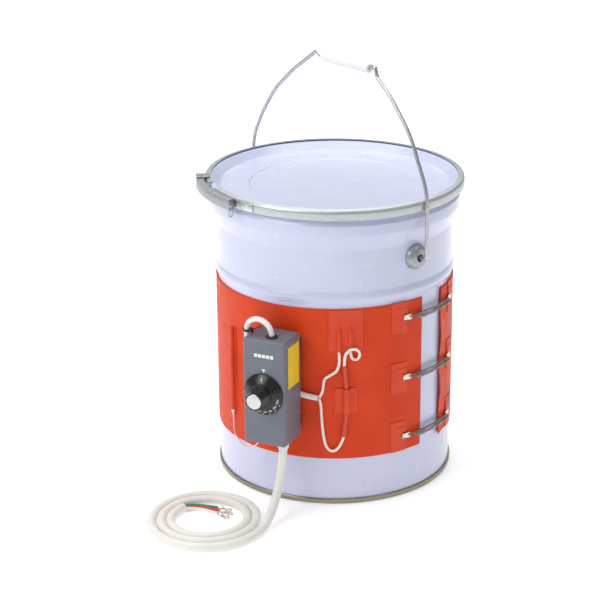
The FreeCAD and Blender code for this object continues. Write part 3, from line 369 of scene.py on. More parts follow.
# Plain moulded, drawn or painted materials: two shades, the roughness range and the grain
moulded = {
    "boxPaint": (((0.150, 0.165, 0.205), (0.168, 0.184, 0.225)), (0.34, 0.44), (0.55, 0.03)),
    "knobPlastic": (((0.006, 0.006, 0.007), (0.010, 0.010, 0.011)), (0.20, 0.30), (1.2, 0.008)),
    "blackNylon": (((0.010, 0.010, 0.011), (0.016, 0.016, 0.017)), (0.38, 0.5), (0.8, 0.02)),
    "blackRubber": (((0.014, 0.014, 0.015), (0.022, 0.022, 0.023)), (0.55, 0.7), (0.6, 0.03)),
    "gripPlastic": (((0.84, 0.85, 0.87), (0.88, 0.89, 0.90)), (0.34, 0.46), (2.5, 0.05)),
    # The lead sleeves' pink tint is partly their own tone and partly a painted reflection of the red band
    "leadSleeve": (((0.92, 0.82, 0.76), (0.97, 0.88, 0.82)), (0.42, 0.55), (0.5, 0.03)),
    "cordJacket": (((0.84, 0.835, 0.79), (0.88, 0.875, 0.83)), (0.40, 0.52), (3.5, 0.10)),
    "cableJacket": (((0.86, 0.83, 0.82), (0.91, 0.88, 0.87)), (0.38, 0.5), (3.0, 0.06)),
    "greenCover": (((0.02, 0.30, 0.12), (0.03, 0.36, 0.15)), (0.35, 0.45), (1.5, 0.03)),
    "redCover": (((0.62, 0.03, 0.03), (0.70, 0.04, 0.04)), (0.35, 0.45), (1.5, 0.03)),
    "whiteCover": (((0.80, 0.80, 0.78), (0.85, 0.85, 0.83)), (0.35, 0.45), (1.5, 0.03)),
    "yellowVinyl": (((0.84, 0.62, 0.02), (0.88, 0.66, 0.03)), (0.32, 0.42), (6.0, 0.04)),
    "printWhite": (((0.84, 0.84, 0.84), (0.90, 0.90, 0.90)), (0.5, 0.6), (0.5, 0.01)),
    "blockNylon": (((0.70, 0.68, 0.62), (0.76, 0.74, 0.68)), (0.4, 0.5), (1.0, 0.02)),
}
mouldedClouds = {"shade": (14, 4.0), "rough": (5, 3.0)}


def makeMoulded(name):
    shades, roughness, fine = moulded[name]
    finish = newFinish(name, shades[0], roughness[0])
    colourBetween(finish, cloud(finish, *mouldedClouds["shade"]), *shades)
    roughBetween(finish, cloud(finish, *mouldedClouds["rough"]), *roughness)
    grain(finish, *fine)
    return finish


turnedCap = {"shade": (0.60, 0.60, 0.58), "height": 158, "ringPitch": 0.45, "relief": 0.012,
             "roughness": (0.2, 0.34), "roughCloud": (3, 3.0)}


# Turned rings on the knob's cap, centred on the knob's axis
def makeTurnedCap():
    finish = newFinish("turnedCap", turnedCap["shade"], 0.26, Metallic=1.0, Anisotropic=0.4)
    centre = boxPoint(0, 0, turnedCap["height"])
    shift = addNode(finish, "ShaderNodeMapping", {"Vector": spotOf(finish), "Location": tuple(-centre)})
    facing = (0, 0, math.radians(-caseAzimuth))
    turn = addNode(finish, "ShaderNodeMapping", {"Vector": shift.outputs[0], "Rotation": facing})
    parts = addNode(finish, "ShaderNodeSeparateXYZ", {"Vector": turn.outputs[0]}).outputs
    out = fromAxis(finish, parts["X"], parts["Z"])
    rings = maths(finish, "SINE", maths(finish, "MULTIPLY", out, 2000 * math.pi / turnedCap["ringPitch"]))
    roughBetween(finish, cloud(finish, *turnedCap["roughCloud"]), *turnedCap["roughness"])
    emboss(finish, rings, turnedCap["relief"])
    return finish


finishes = {name: makeMoulded(name) for name in moulded}
finishes.update(
    enamel=makeEnamel(), zinc=makeZinc(),
    zincPart=makeZinc("zincPart", False, ((0.33, 0.36, 0.375), (0.45, 0.475, 0.485))), wire=makeWire(),
    tinplate=makeTinplate(), mat=makeSilicone(), moulding=makeSilicone("redMoulding", False),
    sleeve=makeSilicone("redSleeve", False, ((0.62, 0.070, 0.030), (0.70, 0.085, 0.036))),
    spring=makeWire("springSteel", ((0.24, 0.22, 0.20), (0.40, 0.375, 0.35))),
    # Lighter steel shades for the lever catch: the lightness is a painted highlight, standing in for the
    # catch's reflection
    bright=makeWire("paintedHighlightPlate", ((0.56, 0.57, 0.58), (0.72, 0.73, 0.74))),
    # Warm, pinkish steel for the hook strips: partly the strips' own tone, partly a painted reflection of the
    # red band
    strip=makeWire("stripToneAndPaintedReflection", ((0.66, 0.60, 0.56), (0.80, 0.74, 0.70))),
    copper=makeWire("tinnedTube", ((0.70, 0.60, 0.54), (0.82, 0.74, 0.68))),
    tinned=makeWire("tinnedTongue", ((0.62, 0.58, 0.54), (0.78, 0.74, 0.70))),
    steel=makeWire("plainSteel", ((0.44, 0.44, 0.44), (0.58, 0.58, 0.58))), cap=makeTurnedCap())
print("finishes mixed:", len(finishes))


# Workshop moves
def clearSelection():
    if bpy.context.object and bpy.context.object.mode != "OBJECT":
        bpy.ops.object.mode_set(mode="OBJECT")
    bpy.ops.object.select_all(action="DESELECT")


def pick(piece):
    clearSelection()
    piece.select_set(True)
    bpy.context.view_layer.objects.active = piece
    return piece


def settle(piece):
    pick(piece)
    bpy.ops.object.transform_apply(location=True, rotation=True, scale=True)
    return piece


def asMesh(piece):
    pick(piece)
    bpy.ops.object.convert(target="MESH")
    return bpy.context.object


def addModifier(piece, kind, **settings):
    pick(piece)
    modifier = piece.modifiers.new(kind.lower(), kind)
    for key, value in settings.items():
        setattr(modifier, key, value)
    bpy.ops.object.modifier_apply(modifier=modifier.name)
    return piece


def smoothAt(piece, angle):
    pick(piece)
    bpy.ops.object.shade_smooth_by_angle(angle=math.radians(angle))
    return piece


# Rounds the edges by this many millimetres
def soften(piece, width, segments=2, angle=30, smooth=35):
    addModifier(piece, "BEVEL", width=width / 1000, segments=segments, limit_method="ANGLE",
                angle_limit=math.radians(angle), use_clamp_overlap=True, harden_normals=False)
    return smoothAt(piece, smooth)


def joinAll(name, pieces):
    clearSelection()
    for piece in pieces:
        piece.select_set(True)
    bpy.context.view_layer.objects.active = pieces[0]
    bpy.ops.object.join()
    pieces[0].name = name
    return pieces[0]


def faceOut(piece):
    pick(piece)
    bpy.ops.object.mode_set(mode="EDIT")
    bpy.ops.mesh.select_all(action="SELECT")
    bpy.ops.mesh.normals_make_consistent(inside=False)
    bpy.ops.object.mode_set(mode="OBJECT")


def closeTo(first, second, gap=0.01):
    return abs(first - second) < gap


# Goes into edit mode with the edges selected whose two ends pass the test, in millimetres
def selectEdges(piece, test):
    pick(piece)
    bpy.ops.object.mode_set(mode="EDIT")
    bpy.ops.mesh.select_mode(type="EDGE")
    bpy.ops.mesh.select_all(action="DESELECT")
    bpy.ops.object.mode_set(mode="OBJECT")
    for edge in piece.data.edges:
        first, second = (piece.data.vertices[i].co * 1000 for i in edge.vertices)
        edge.select = bool(test(first, second))
    bpy.ops.object.mode_set(mode="EDIT")


# Rounds those edges to this radius
def roundEdges(piece, test, radius, segments):
    selectEdges(piece, test)
    bpy.ops.mesh.bevel(offset=radius / 1000, segments=segments, affect="EDGES")
    bpy.ops.object.mode_set(mode="OBJECT")


# Gives a finished piece its material, its body and the CAD nodes that it stands for
def fit(piece, body, finish, *stands):
    piece.data.materials.clear()
    piece.data.materials.append(finishes[finish])
    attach(piece, body)
    if stands:
        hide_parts(*stands)
    return piece


# A block from its middle and its sizes in millimetres, turned on its upright axis
def block(name, middle, sizes, turn=0.0):
    clearSelection()
    bpy.ops.mesh.primitive_cube_add(size=1, location=Vector(middle) / 1000,
                                    rotation=(0, 0, math.radians(turn)), scale=Vector(sizes) / 1000)
    bpy.context.object.name = name
    return settle(bpy.context.object)


# Draws a chain of edges by extruding a point, and stays in edit mode with all of it selected
def drawChain(name, places):
    clearSelection()
    bpy.ops.mesh.primitive_plane_add(size=0.001, location=places[0])
    piece = bpy.context.object
    piece.name = name
    bpy.ops.object.transform_apply(location=True)
    bpy.ops.object.mode_set(mode="EDIT")
    bpy.ops.mesh.select_mode(type="VERT")
    bpy.ops.mesh.select_all(action="SELECT")
    bpy.ops.mesh.merge(type="CENTER")
    for before, after in zip(places, places[1:]):
        bpy.ops.mesh.extrude_region_move(TRANSFORM_OT_translate={"value": after - before})
    bpy.ops.mesh.select_all(action="SELECT")
    return piece


# A section of (radius, height) corners, spun round the pail's axis
def spinSection(name, outline, start=0.0, sweep=360.0, steps=192, closed=True, cuts=0):
    places = [polar(start, r, z) for r, z in outline]
    piece = drawChain(name, places + (places[:1] if closed else []))
    bpy.ops.mesh.remove_doubles(threshold=1e-6)
    if cuts:
        bpy.ops.mesh.subdivide(number_cuts=cuts)
    bpy.ops.mesh.spin(steps=steps, angle=-math.radians(sweep), center=(0, 0, 0), axis=(0, 0, 1))
    bpy.ops.mesh.select_all(action="SELECT")
    bpy.ops.mesh.remove_doubles(threshold=1e-6)
    bpy.ops.mesh.normals_make_consistent(inside=False)
    bpy.ops.object.mode_set(mode="OBJECT")
    return piece


# Closes the open ends of a spun section
def closeEnds(piece):
    pick(piece)
    bpy.ops.object.mode_set(mode="EDIT")
    bpy.ops.mesh.select_all(action="DESELECT")
    bpy.ops.mesh.select_mode(type="EDGE")
    bpy.ops.mesh.select_non_manifold()
    bpy.ops.mesh.fill_holes(sides=0)
    bpy.ops.mesh.select_mode(type="VERT")
    faceOut(piece)


# Lays a turned piece with its axis along an azimuth
def layAlong(piece, azimuth, place):
    piece.rotation_euler = polar(azimuth, 1000, 0).to_track_quat("Z", "Y").to_euler()
    piece.location = place
    return settle(piece)


# Corners with a third value are rounded to that radius
def rounded(corners, steps=5):
    outline = []
    for i, corner in enumerate(corners):
        here = Vector(corner[:2])
        if len(corner) < 3 or i in (0, len(corners) - 1):
            outline.append(tuple(here))
            continue
        back = (Vector(corners[i - 1][:2]) - here).normalized()
        ahead = (Vector(corners[i + 1][:2]) - here).normalized()
        half = back.angle(ahead) / 2
        middle = here + (back + ahead).normalized() * (corner[2] / math.sin(half))
        first = here + back * (corner[2] / math.tan(half)) - middle
        last = here + ahead * (corner[2] / math.tan(half)) - middle
        turn = first.angle_signed(last)
        for k in range(steps + 1):
            outline.append(tuple(middle + Matrix.Rotation(-turn * k / steps, 2) @ first))
    return outline


mergeGap = 2e-6


# A merged copy of a CAD node, so that its edges can be worked; faces flat within the angle become one
def castOf(node, name, flat=0.0):
    piece = pick(addObject(name, cadNodes[node].data.copy()))
    bpy.ops.object.mode_set(mode="EDIT")
    bpy.ops.mesh.select_all(action="SELECT")
    bpy.ops.mesh.customdata_custom_splitnormals_clear()
    bpy.ops.mesh.remove_doubles(threshold=mergeGap)
    if flat:
        bpy.ops.mesh.dissolve_limited(angle_limit=math.radians(flat))
    bpy.ops.object.mode_set(mode="OBJECT")
    return piece


# Pail, its seamed bottom, its lid and the clamping ring: radius, height and rounding of each corner
pail = {
    "outside": [(144.0, 0.7), (144.0, 254.5, 6), (145.4, 257.6, 3), (146.6, 262.0, 6), (145.4, 266.4, 3),
                (144.0, 269.5, 6), (144.0, 320.0, 14), (152.3, 340.0, 5), (152.3, 352.5, 2.6),
                (148.8, 357.5, 2.2), (148.8, 362.2), (153.0, 362.2, 1.0), (154.2, 364.0, 2.0),
                (154.2, 366.5, 2.0), (152.6, 368.1, 1.4), (149.7, 368.1, 1.2)],
    "inside": [(148.2, 366.6), (148.2, 357.4), (151.7, 352.2), (151.7, 340.2), (143.4, 320.2),
               (143.4, 269.6), (145.9, 262.0), (143.4, 254.4), (143.4, 0.7)],
    "bottom": [(0, 8.0), (140.2, 8.0, 2.0), (142.7, 6.2, 1.0), (142.7, 0.0), (145.3, 0.0, 0.6),
               (146.0, 0.7, 0.6), (146.0, 5.8, 0.6), (145.3, 6.5, 0.5), (144.05, 6.5), (144.05, 0.65),
               (143.35, 0.65), (143.35, 8.65), (0, 8.65)],
    "lid": [(0, 359.45), (102.5, 359.45, 2.0), (104.0, 360.95, 2.0), (138.3, 360.95, 5.0),
            (147.8, 370.55, 2.6), (154.3, 370.55, 1.2), (155.1, 369.75), (155.1, 364.55),
            (154.3, 364.55), (154.3, 369.75), (147.8, 369.75), (138.3, 360.15), (104.0, 360.15),
            (102.5, 358.65), (0, 358.65)],
    "ring": [(151.6, 360.6), (156.2, 360.6, 0.5), (157.0, 361.4, 0.6), (157.0, 368.4, 1.0),
             (156.6, 370.4, 1.2), (155.2, 372.3, 1.0), (149.6, 373.3), (149.6, 372.1), (154.6, 371.2),
             (155.7, 369.6), (155.8, 361.8), (151.6, 361.8)],
    "ringStart": -65.5, "ringSweep": 351.0,
    "gasket": [(149.0, 368.15), (153.4, 368.15), (153.4, 369.65), (149.0, 369.65)],
}


def buildPail():
    shell = spinSection("pailShell", rounded(pail["outside"] + pail["inside"]))
    fit(smoothAt(shell, 38), "pail", "enamel", "pail_body")
    bottom = spinSection("pailBottom", rounded(pail["bottom"], 3))
    fit(smoothAt(bottom, 38), "pail", "tinplate", "pail_bottom")
    lid = spinSection("pailLid", rounded(pail["lid"], 4))
    fit(smoothAt(lid, 38), "pail", "enamel", "lid")
    ring = spinSection("clampRing", rounded(pail["ring"], 3), start=pail["ringStart"],
                       sweep=pail["ringSweep"], steps=200)
    closeEnds(ring)
    fit(smoothAt(ring, 40), "pail", "zinc", "lock_ring")
    gasket = spinSection("lidGasket", pail["gasket"], steps=96)
    fit(soften(gasket, 0.35), "pail", "blackRubber", "lid_gasket")


buildPail()
print("pail, lid and clamping ring turned")

# Fittings of the ring, bail, band, box and cords: the CAD form, its edges rounded by the last value
fittings = {
    "latch_bracket": ("latchBracket", "pail", "zincPart", 0.3),
    "ring_pins": ("ringPins", "pail", "steel", 0.25),
    "latch_lever": ("latchLever", "lever", "zincPart", 0.35),
    "link_pin": ("linkPin", "lever", "steel", 0.2),
    "hook_link": ("hookLink", "link", "zincPart", 0.3),
    "hook_bracket": ("hookBracket", "pail", "zincPart", 0.25),
    # The lever catch takes the lighter steel, whose lightness is a painted highlight
    "lever_catch": ("leverCatch", "pail", "bright", 0.3),
    "clip_loop": ("clipLoop", "clip", "steel", 0),
    "bail_wire": ("bailWire", "bail", "wire", 0),
    # The hook strips' pinkish tint is partly a painted reflection of the red band
    "hooks_left": ("hookStripsLeft", "pail", "strip", 0.22),
    "hooks_right": ("hookStripsRight", "pail", "strip", 0.22),
    "case_back": ("boxBack", "pail", "boxPaint", 0.35),
    "case_screws": ("boxScrews", "pail", "steel", 0.25),
    "case_feet": ("boxFeet", "pail", "blackRubber", 0.6),
    "top_bushing": ("topGrommet", "pail", "blackRubber", 0.3),
    "cord_gland": ("cordGland", "pail", "gripPlastic", 0.4),
    "dial_knob": ("dialKnob", "knob", "knobPlastic", 0.45),
    "knob_cap": ("knobCap", "knob", "cap", 0.15),
    "cable_tie": ("cableTie", "pail", "blackNylon", 0.18),
    "ring_terminal_green": ("ringTongueGreen", "pail", "tinned", 0.12),
    "ring_terminal_red": ("ringTongueRed", "pail", "tinned", 0.12),
    "ring_terminal_white": ("ringTongueWhite", "pail", "tinned", 0.12),
    "thermostat_body": ("thermostatBody", "pail", "steel", 0.3),
    "thermostat_spindle": ("thermostatSpindle", "knob", "steel", 0.2),
    "terminal_block": ("terminalBlock", "pail", "blockNylon", 0.3),
    "thermal_fuse": ("thermalFuse", "pail", "tinned", 0.2),
}
springRows = (231, 155, 79)

# Hook strips: the azimuth of each buried end and of the place where it leaves its pad
strips = {"ends": {"hooks_left": (30.0, 33.4), "hooks_right": (74.9, 72.0)},
          "halfWidth": 3.5, "edgeLimit": 1.2, "corner": 2.2}


def trimStrips(piece, end, azimuth):
    for corner in piece.data.vertices:
        x, y, z = corner.co * 1000
        here = math.degrees(math.atan2(x, -y))
        if abs(here - end) < abs(azimuth - end):
            corner.co = polar(azimuth, math.hypot(x, y), z)
    pick(piece)
    bpy.ops.object.mode_set(mode="EDIT")
    bpy.ops.mesh.select_all(action="SELECT")
    bpy.ops.mesh.remove_doubles(threshold=mergeGap)
    bpy.ops.object.mode_set(mode="OBJECT")


# Whether an edge crosses the sheet at one of a strip's four corners
def stripCorner(a, b):
    fromRow = min(abs(abs(a.z - row) - strips["halfWidth"]) for row in springRows)
    return closeTo(a.z, b.z) and (a - b).length < strips["edgeLimit"] and fromRow < 0.02


# Closes the tip of the lever's channel, which the photograph shows without an opening
leverTip = {"azimuth": -47.3, "out": 163.05, "height": 366.95, "sizes": (1.0, 7.7, 11.4)}


def closeLever(piece):
    middle = polar(leverTip["azimuth"], leverTip["out"], leverTip["height"]) * 1000
    joinAll(piece.name, [piece, block("leverTip", middle, leverTip["sizes"], leverTip["azimuth"])])


for node, (name, body, finish, edge) in fittings.items():
    piece = castOf(node, name, 1.0 if edge else 0)
    if node in strips["ends"]:
        trimStrips(piece, *strips["ends"][node])
        roundEdges(piece, stripCorner, strips["corner"], 5)
    if node == "latch_lever":
        closeLever(piece)
    if edge:
        soften(piece, edge)
    else:
        smoothAt(piece, 50)
    fit(piece, body, finish, node)
print("fittings worked:", len(fittings))

# Bail ears: pressed cups, turned round their own axis
bailHeight = 302.5
bailAzimuth = 41
ear = {"pieces": (("ear_right", "earRight", bailAzimuth), ("ear_left", "earLeft", bailAzimuth - 180)),
       "seat": 143.5,
       "outline": [(15.2, 0), (15.6, 0.3), (15.5, 1.3, 0.4), (14.3, 4.6, 2.5), (11.6, 8.2, 2.6),
                   (5.2, 8.9, 1.2), (4.2, 8.3, 0.5), (4.0, 5.8), (4.6, 5.4), (10.6, 6.8), (13.4, 3.6),
                   (14.6, 0)]}


def buildEars():
    for node, name, azimuth in ear["pieces"]:
        piece = spinSection(name, rounded(ear["outline"], 5), steps=56)
        layAlong(piece, azimuth, polar(azimuth, ear["seat"], bailHeight))
        fit(smoothAt(piece, 40), "pail", "zincPart", node)


buildEars()
print("ears pressed")

# Grip on the bail, turned round its own axis and then put in place; rim and neck are drawn in a little
grip = {"radius": 5.9, "bore": 2.32, "length": 84, "middle": 13, "height": 206.5, "lean": 1.8,
        "rim": (0.3, 1.6), "neck": (0.15, 5, 3), "belly": 60}


def onBail(across, height):
    lean = math.radians(grip["lean"])
    rise = Vector((0, 0, math.cos(lean))) + polar(bailAzimuth + 90, 1000, 0) * math.sin(lean)
    return polar(bailAzimuth, across, 0) + rise * height / 1000 + Vector((0, 0, bailHeight / 1000))


def buildGrip():
    half, r, bore = grip["length"] / 2, grip["radius"], grip["bore"]
    rimIn, rimRound = grip["rim"]
    neckIn, neckFrom, neckRound = grip["neck"]
    outline = [(bore, -half), (r - rimIn, -half, rimRound), (r - neckIn, -half + neckFrom, neckRound),
               (r, 0, grip["belly"]), (r - neckIn, half - neckFrom, neckRound), (r - rimIn, half, rimRound),
               (bore, half)]
    piece = spinSection("bailGrip", rounded(outline, 6), steps=48)
    layAlong(piece, bailAzimuth, onBail(grip["middle"], grip["height"]))
    fit(smoothAt(piece, 38), "grip", "gripPlastic", "bail_grip")


buildGrip()
print("grip turned")

# Heating band: one sheet of silicone whose free end lifts a little off the pail between its springs
band = {"inside": 144.05, "thick": 1.6, "low": 59.7, "high": 249.9, "start": -300.5, "sweep": 345.8,
        "steps": 260, "cuts": 47, "lift": 3.8, "reach": 7.5, "freeEnd": 59.5, "endRange": (59, 70),
        "rowReach": 38, "heldShare": 0.25, "ripple": (0.12, 9)}


def bandLift(azimuth, z):
    low, high = band["endRange"]
    if not low < azimuth < high:
        return 0.0
    nearEnd = 1 - min(abs(azimuth - band["freeEnd"]) / band["reach"], 1)
    fromRow = min(min(abs(z - row) for row in springRows) / band["rowReach"], 1)
    deep, length = band["ripple"]
    wave = band["heldShare"] + (1 - band["heldShare"]) * fromRow + deep * math.sin(z / length)
    return band["lift"] * nearEnd ** 2 * wave


def buildBand():
    sheet = spinSection("heatingBand", [(band["inside"], band["low"]), (band["inside"], band["high"])],
                        start=band["start"], sweep=band["sweep"], steps=band["steps"], closed=False,
                        cuts=band["cuts"])
    for corner in sheet.data.vertices:
        x, y, z = corner.co * 1000
        azimuth = math.degrees(math.atan2(x, -y))
        corner.co += polar(azimuth, bandLift(azimuth, z), 0)
    faceOut(sheet)
    faces = sheet.data.polygons
    outward = sum(1 for face in faces if face.normal.x * face.center.x + face.normal.y * face.center.y > 0)
    side = 1.0 if outward > len(faces) / 2 else -1.0
    addModifier(sheet, "SOLIDIFY", thickness=band["thick"] / 1000, offset=side, use_even_offset=True)
    faceOut(sheet)
    fit(soften(sheet, 0.45, 2, 60, 50), "pail", "mat", "heater_mat")


buildBand()
print("band laid")

# Silicone mouldings on the band: the CAD form remeshed at this grain and its edges rubbed so often
mouldings = {
    "lead_patch": ("leadPatch", 0.45, 2, "moulding"),
    "fuse_pad": ("fusePad", 0.36, 1, "moulding"),
    "sensor_pocket": ("sensorPocket", 0.40, 4, "moulding"),
    **{"hook_pad_" + side + "_" + row: ("hookPad" + side.capitalize() + row, 0.38, 1, "moulding")
       for side in ("left", "right") for row in "123"},
    "sleeve_lower": ("sleeveLower", 0.35, 3, "sleeve"),
    "sleeve_upper": ("sleeveUpper", 0.35, 3, "sleeve"),
}
for node, (name, fineness, rubs, finish) in mouldings.items():
    piece = castOf(node, name)
    addModifier(piece, "REMESH", mode="VOXEL", voxel_size=fineness / 1000)
    addModifier(piece, "SMOOTH", factor=0.5, iterations=rubs)
    pick(piece)
    bpy.ops.object.shade_smooth()
    fit(piece, "pail", finish, node)
print("mouldings pressed:", len(mouldings))

# Band springs, wound wire that narrows to an eye at each end
spring = {"from": 38.28, "to": 66.62, "coil": 3.15, "wire": 0.58, "turns": 29, "points": 14, "out": 150.9,
          "endOut": 147.95, "endCoil": 1.0, "openingTurns": 1.4, "eyes": (37.68, 67.22), "eye": 1.72,
          "eyeWire": 0.46}


def windSpring(name, height):
    curve = bpy.data.curves.new(name, "CURVE")
    curve.dimensions = "3D"
    line = curve.splines.new("POLY")
    count = spring["turns"] * spring["points"]
    line.points.add(count)
    for i, spot in enumerate(line.points):
        share = i / count
        azimuth = spring["from"] + (spring["to"] - spring["from"]) * share
        opened = min(1.0, min(share, 1 - share) * spring["turns"] / spring["openingTurns"])
        opened = opened * opened * (3 - 2 * opened)
        coil = spring["endCoil"] + (spring["coil"] - spring["endCoil"]) * opened
        out = spring["endOut"] + (spring["out"] - spring["endOut"]) * opened
        turn = 2 * math.pi * spring["turns"] * share
        spot.co = (*polar(azimuth, out + coil * math.cos(turn), height + coil * math.sin(turn)), 1)
    curve.bevel_depth = spring["wire"] / 1000
    curve.bevel_resolution = 1
    curve.use_fill_caps = True
    pieces = [asMesh(addObject(name, curve))]
    for azimuth in spring["eyes"]:
        clearSelection()
        bpy.ops.mesh.primitive_torus_add(location=polar(azimuth, spring["endOut"], height), major_segments=28,
                                         minor_segments=10, major_radius=spring["eye"] / 1000,
                                         minor_radius=spring["eyeWire"] / 1000)
        pieces.append(settle(bpy.context.object))
    return smoothAt(joinAll(name, pieces), 60)


for row, height in enumerate(springRows, 1):
    fit(windSpring("bandSpring" + str(row), height), "pail", "spring", "band_spring_" + str(row))
print("springs wound")

# Sensor: its bulb and boot in the pocket, then the fine tube to the box
sensor = {"azimuth": -56.3, "neck": 88, "lift": 2.3, "tube": 0.8, "inlet": (-14, 168, 93.7),
          "route": [(-56.2, 2.5, 77), (-55.4, 2.9, 68), (-53.0, 3.4, 61.5), (-49.2, 4.4, 58.4),
                    (-44.8, 7, 58.5), (-40.2, 11.2, 62.5), (-36, 16.2, 70), (-32.6, 20.8, 80)],
          "boot": [(0.01, 87.6), (0.8, 87.6), (1.3, 90.0, 4), (2.75, 95.4, 2), (2.75, 97.2, 0.4), (1.1, 97.6),
                   (1.1, 103.0), (2.0, 103.0), (2.0, 195.0, 1.4), (0.01, 195.0)]}


def buildSensor():
    out = matSkin + sensor["lift"]
    points = [polar(sensor["azimuth"], out, sensor["neck"])]
    points += [polar(azimuth, matSkin + lift, z) for azimuth, lift, z in sensor["route"]]
    points.append(boxPoint(*sensor["inlet"]))
    tube = asMesh(cordLine("sensorTube", points, sensor["tube"]))
    boot = spinSection("sensorBoot", rounded(sensor["boot"], 4), steps=28)
    boot.location = polar(sensor["azimuth"], out, 0)
    whole = joinAll("sensorTube", [tube, settle(boot)])
    fit(smoothAt(whole, 45), "pail", "copper", "sensor_capillary")


buildSensor()
print("sensor laid")

# Thermostat box; its top is sunk a little inside a rim
case = {"half": 26.5, "back": 156.5, "face": 197.0, "low": 93.7, "high": 224.0, "round": 2.3, "rim": 1.5,
        "sink": 0.3}


def turnToBox(piece):
    piece.rotation_euler = (0, 0, math.radians(caseAzimuth))
    return settle(piece)


# Whether an edge bounds the face or runs from the back to it
def caseEdge(a, b):
    onFace = closeTo(a.y, -case["face"]) and closeTo(b.y, -case["face"])
    return onFace or (closeTo(a.x, b.x) and closeTo(a.z, b.z))


def buildCase():
    back, face, low, high = case["back"], case["face"], case["low"], case["high"]
    piece = block("thermostatCase", (0, -(back + face) / 2, (low + high) / 2),
                  (2 * case["half"], face - back, high - low))
    roundEdges(piece, caseEdge, case["round"], 5)
    bpy.ops.object.mode_set(mode="EDIT")
    bpy.ops.mesh.select_all(action="DESELECT")
    bpy.ops.object.mode_set(mode="OBJECT")
    for side in piece.data.polygons:
        side.select = side.normal.z > 0.99
    bpy.ops.object.mode_set(mode="EDIT")
    bpy.ops.mesh.inset(thickness=case["rim"] / 1000, depth=0)
    bpy.ops.transform.translate(value=(0, 0, -case["sink"] / 1000))
    bpy.ops.object.mode_set(mode="OBJECT")
    turnToBox(piece)
    fit(soften(piece, 0.3, 2, 40, 30), "pail", "boxPaint", "case_body")


buildCase()
print("case built")

# Print on the case's face, the dial and its yellow side label; each mark starts a little below the surface
marks = {"proud": 0.05, "sunk": 0.05,
         "title": {"from": -12.0, "pitch": 5.1, "width": 4.2, "low": 202.7, "high": 206.9, "count": 5},
         "pointer": {"height": 186.7, "half": 2.6, "tall": 4.4},
         "label": {"back": 158.0, "front": 186.5, "low": 163.5, "high": 214.8, "thick": 0.15, "sunk": 0.02,
                   "corner": 1.2}}
dial = {"height": 158.0, "rim": 197.8, "edge": 1.5, "outer": 25.3, "inner": 15.2, "deep": 6.5,
        "numbers": (("150", -12), ("120", -35), ("90", -58), ("60", -77.5), ("30", -98)), "numberRadius": 20.3,
        "numberSize": 4.3, "numberThick": 0.1, "dots": (-24, -46, -68, -88, -108, 180), "dotRadius": 23.6,
        "dot": (0.6, 0.3), "tick": (17.5, 22.5, 0.7, 0.3)}


# A flat plate on the case's face from its corners (across, height)
def facePlate(name, corners):
    out = case["face"] - marks["sunk"]
    piece = drawChain(name, [Vector((x, -out, z)) / 1000 for x, z in corners])
    bpy.ops.mesh.edge_face_add()
    thick = (marks["proud"] + marks["sunk"]) / 1000
    bpy.ops.mesh.extrude_region_move(TRANSFORM_OT_translate={"value": (0, -thick, 0)})
    faceOut(piece)
    return piece


def printFace():
    title, pointer = marks["title"], marks["pointer"]
    plates = []
    for i in range(title["count"]):
        left = title["from"] + i * title["pitch"]
        right = left + title["width"]
        plates.append(facePlate("titleBlock", [(left, title["low"]), (right, title["low"]),
                                               (right, title["high"]), (left, title["high"])]))
    z, half, rise = pointer["height"], pointer["half"], pointer["tall"] / 2
    plates.append(facePlate("pointer", [(-half, z + rise), (0, z - rise), (half, z + rise)]))
    fit(turnToBox(joinAll("facePrint", plates)), "pail", "printWhite")


def printLabel():
    sizes = marks["label"]
    label = block("sideLabel", (case["half"] + sizes["thick"] / 2 - sizes["sunk"],
                                -(sizes["back"] + sizes["front"]) / 2, (sizes["low"] + sizes["high"]) / 2),
                  (sizes["thick"], sizes["front"] - sizes["back"], sizes["high"] - sizes["low"]))
    roundEdges(label, lambda a, b: closeTo(a.y, b.y) and closeTo(a.z, b.z), sizes["corner"], 4)
    turnToBox(label)
    fit(soften(label, 0.05, 1, 60, 40), "pail", "yellowVinyl")


# Where a mark stands on the dial's cone: along x clockwise, y outwards, z off the surface
def dialPlace(angle, radius):
    out = math.radians(angle)
    outward = Vector((math.cos(out), 0, math.sin(out)))
    run = dial["outer"] - dial["inner"]
    slope = math.hypot(run, dial["deep"])
    along = (outward * run + Vector((0, 1, 0)) * dial["deep"]) / slope
    normal = (Vector((0, -1, 0)) * run + outward * dial["deep"]) / slope
    high = dial["rim"] + dial["edge"] + dial["deep"] * (dial["outer"] - radius) / run
    place = (outward * radius + Vector((0, -high, dial["height"]))) / 1000
    axes = Matrix((along.cross(normal), along, normal)).transposed().to_4x4()
    return Matrix.Translation(place) @ axes


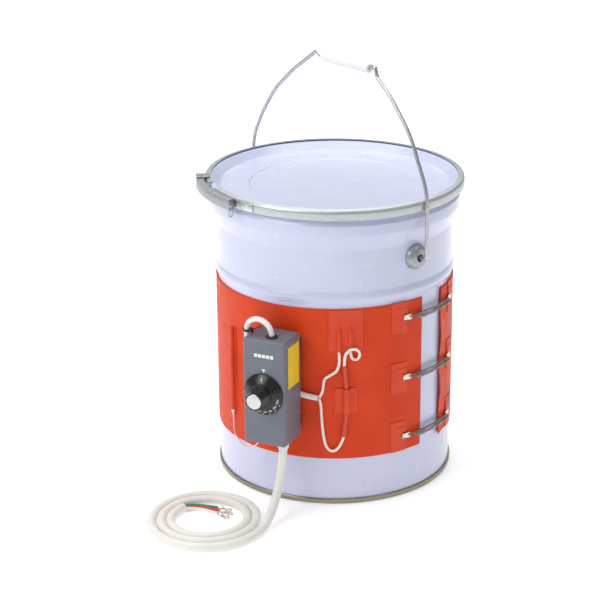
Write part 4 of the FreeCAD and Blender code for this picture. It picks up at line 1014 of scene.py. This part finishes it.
def printDial():
    pieces = []
    for text, angle in dial["numbers"]:
        clearSelection()
        bpy.ops.object.text_add()
        word = bpy.context.object
        word.data.body = text
        word.data.size = dial["numberSize"] / 1000
        word.data.align_x = "CENTER"
        word.data.align_y = "CENTER"
        word.data.extrude = dial["numberThick"] / 1000
        word = asMesh(word)
        word.matrix_world = dialPlace(angle, dial["numberRadius"])
        pieces.append(settle(word))
    radius, thick = dial["dot"]
    for angle in dial["dots"]:
        clearSelection()
        bpy.ops.mesh.primitive_cylinder_add(vertices=14, radius=radius / 1000, depth=thick / 1000)
        dot = bpy.context.object
        dot.matrix_world = dialPlace(angle, dial["dotRadius"])
        pieces.append(settle(dot))
    low, high, wide, thick = dial["tick"]
    clearSelection()
    bpy.ops.mesh.primitive_cube_add(size=1)
    tick = bpy.context.object
    sizes = Matrix.Diagonal((wide / 1000, (high - low) / 1000, thick / 1000, 1))
    tick.matrix_world = dialPlace(90, (low + high) / 2) @ sizes
    pieces.append(settle(tick))
    fit(turnToBox(joinAll("dialPrint", pieces)), "knob", "printWhite")


printFace()
printLabel()
printDial()
print("marks printed")

# The cords get their finishes and ride on the pail.
# Each row: the CAD nodes, finish, radius in millimetres, length in metres and far end.
cordFacts = {
    "outputCable": (["output_cable"], "cableJacket", outputCable["radius"], 0.1965, "object"),
    "upperLead": (["upper_lead"], "leadSleeve", leads["radius"], 0.0665, "object"),
    "lowerLead": (["lower_lead"], "leadSleeve", leads["radius"], 0.0963, "object"),
    "fuseLead": (["fuse_lead"], "leadSleeve", leads["radius"], 0.0631, "object"),
    "mainsCord": (["mains_cord", "mains_cord_coil"], "cordJacket", mainsCord["radius"], 1.0113, "bare"),
    "green": (["core_green"], "greenCover", cores["radius"], 0.0464, "fitting"),
    "red": (["core_red"], "redCover", cores["radius"], 0.0468, "fitting"),
    "white": (["core_white"], "whiteCover", cores["radius"], 0.0427, "fitting"),
}


def declareCords():
    for name, (nodes, finish, radius, length, end) in cordFacts.items():
        cord = fit(cords[name], "pail", finish, *nodes)


declareCords()
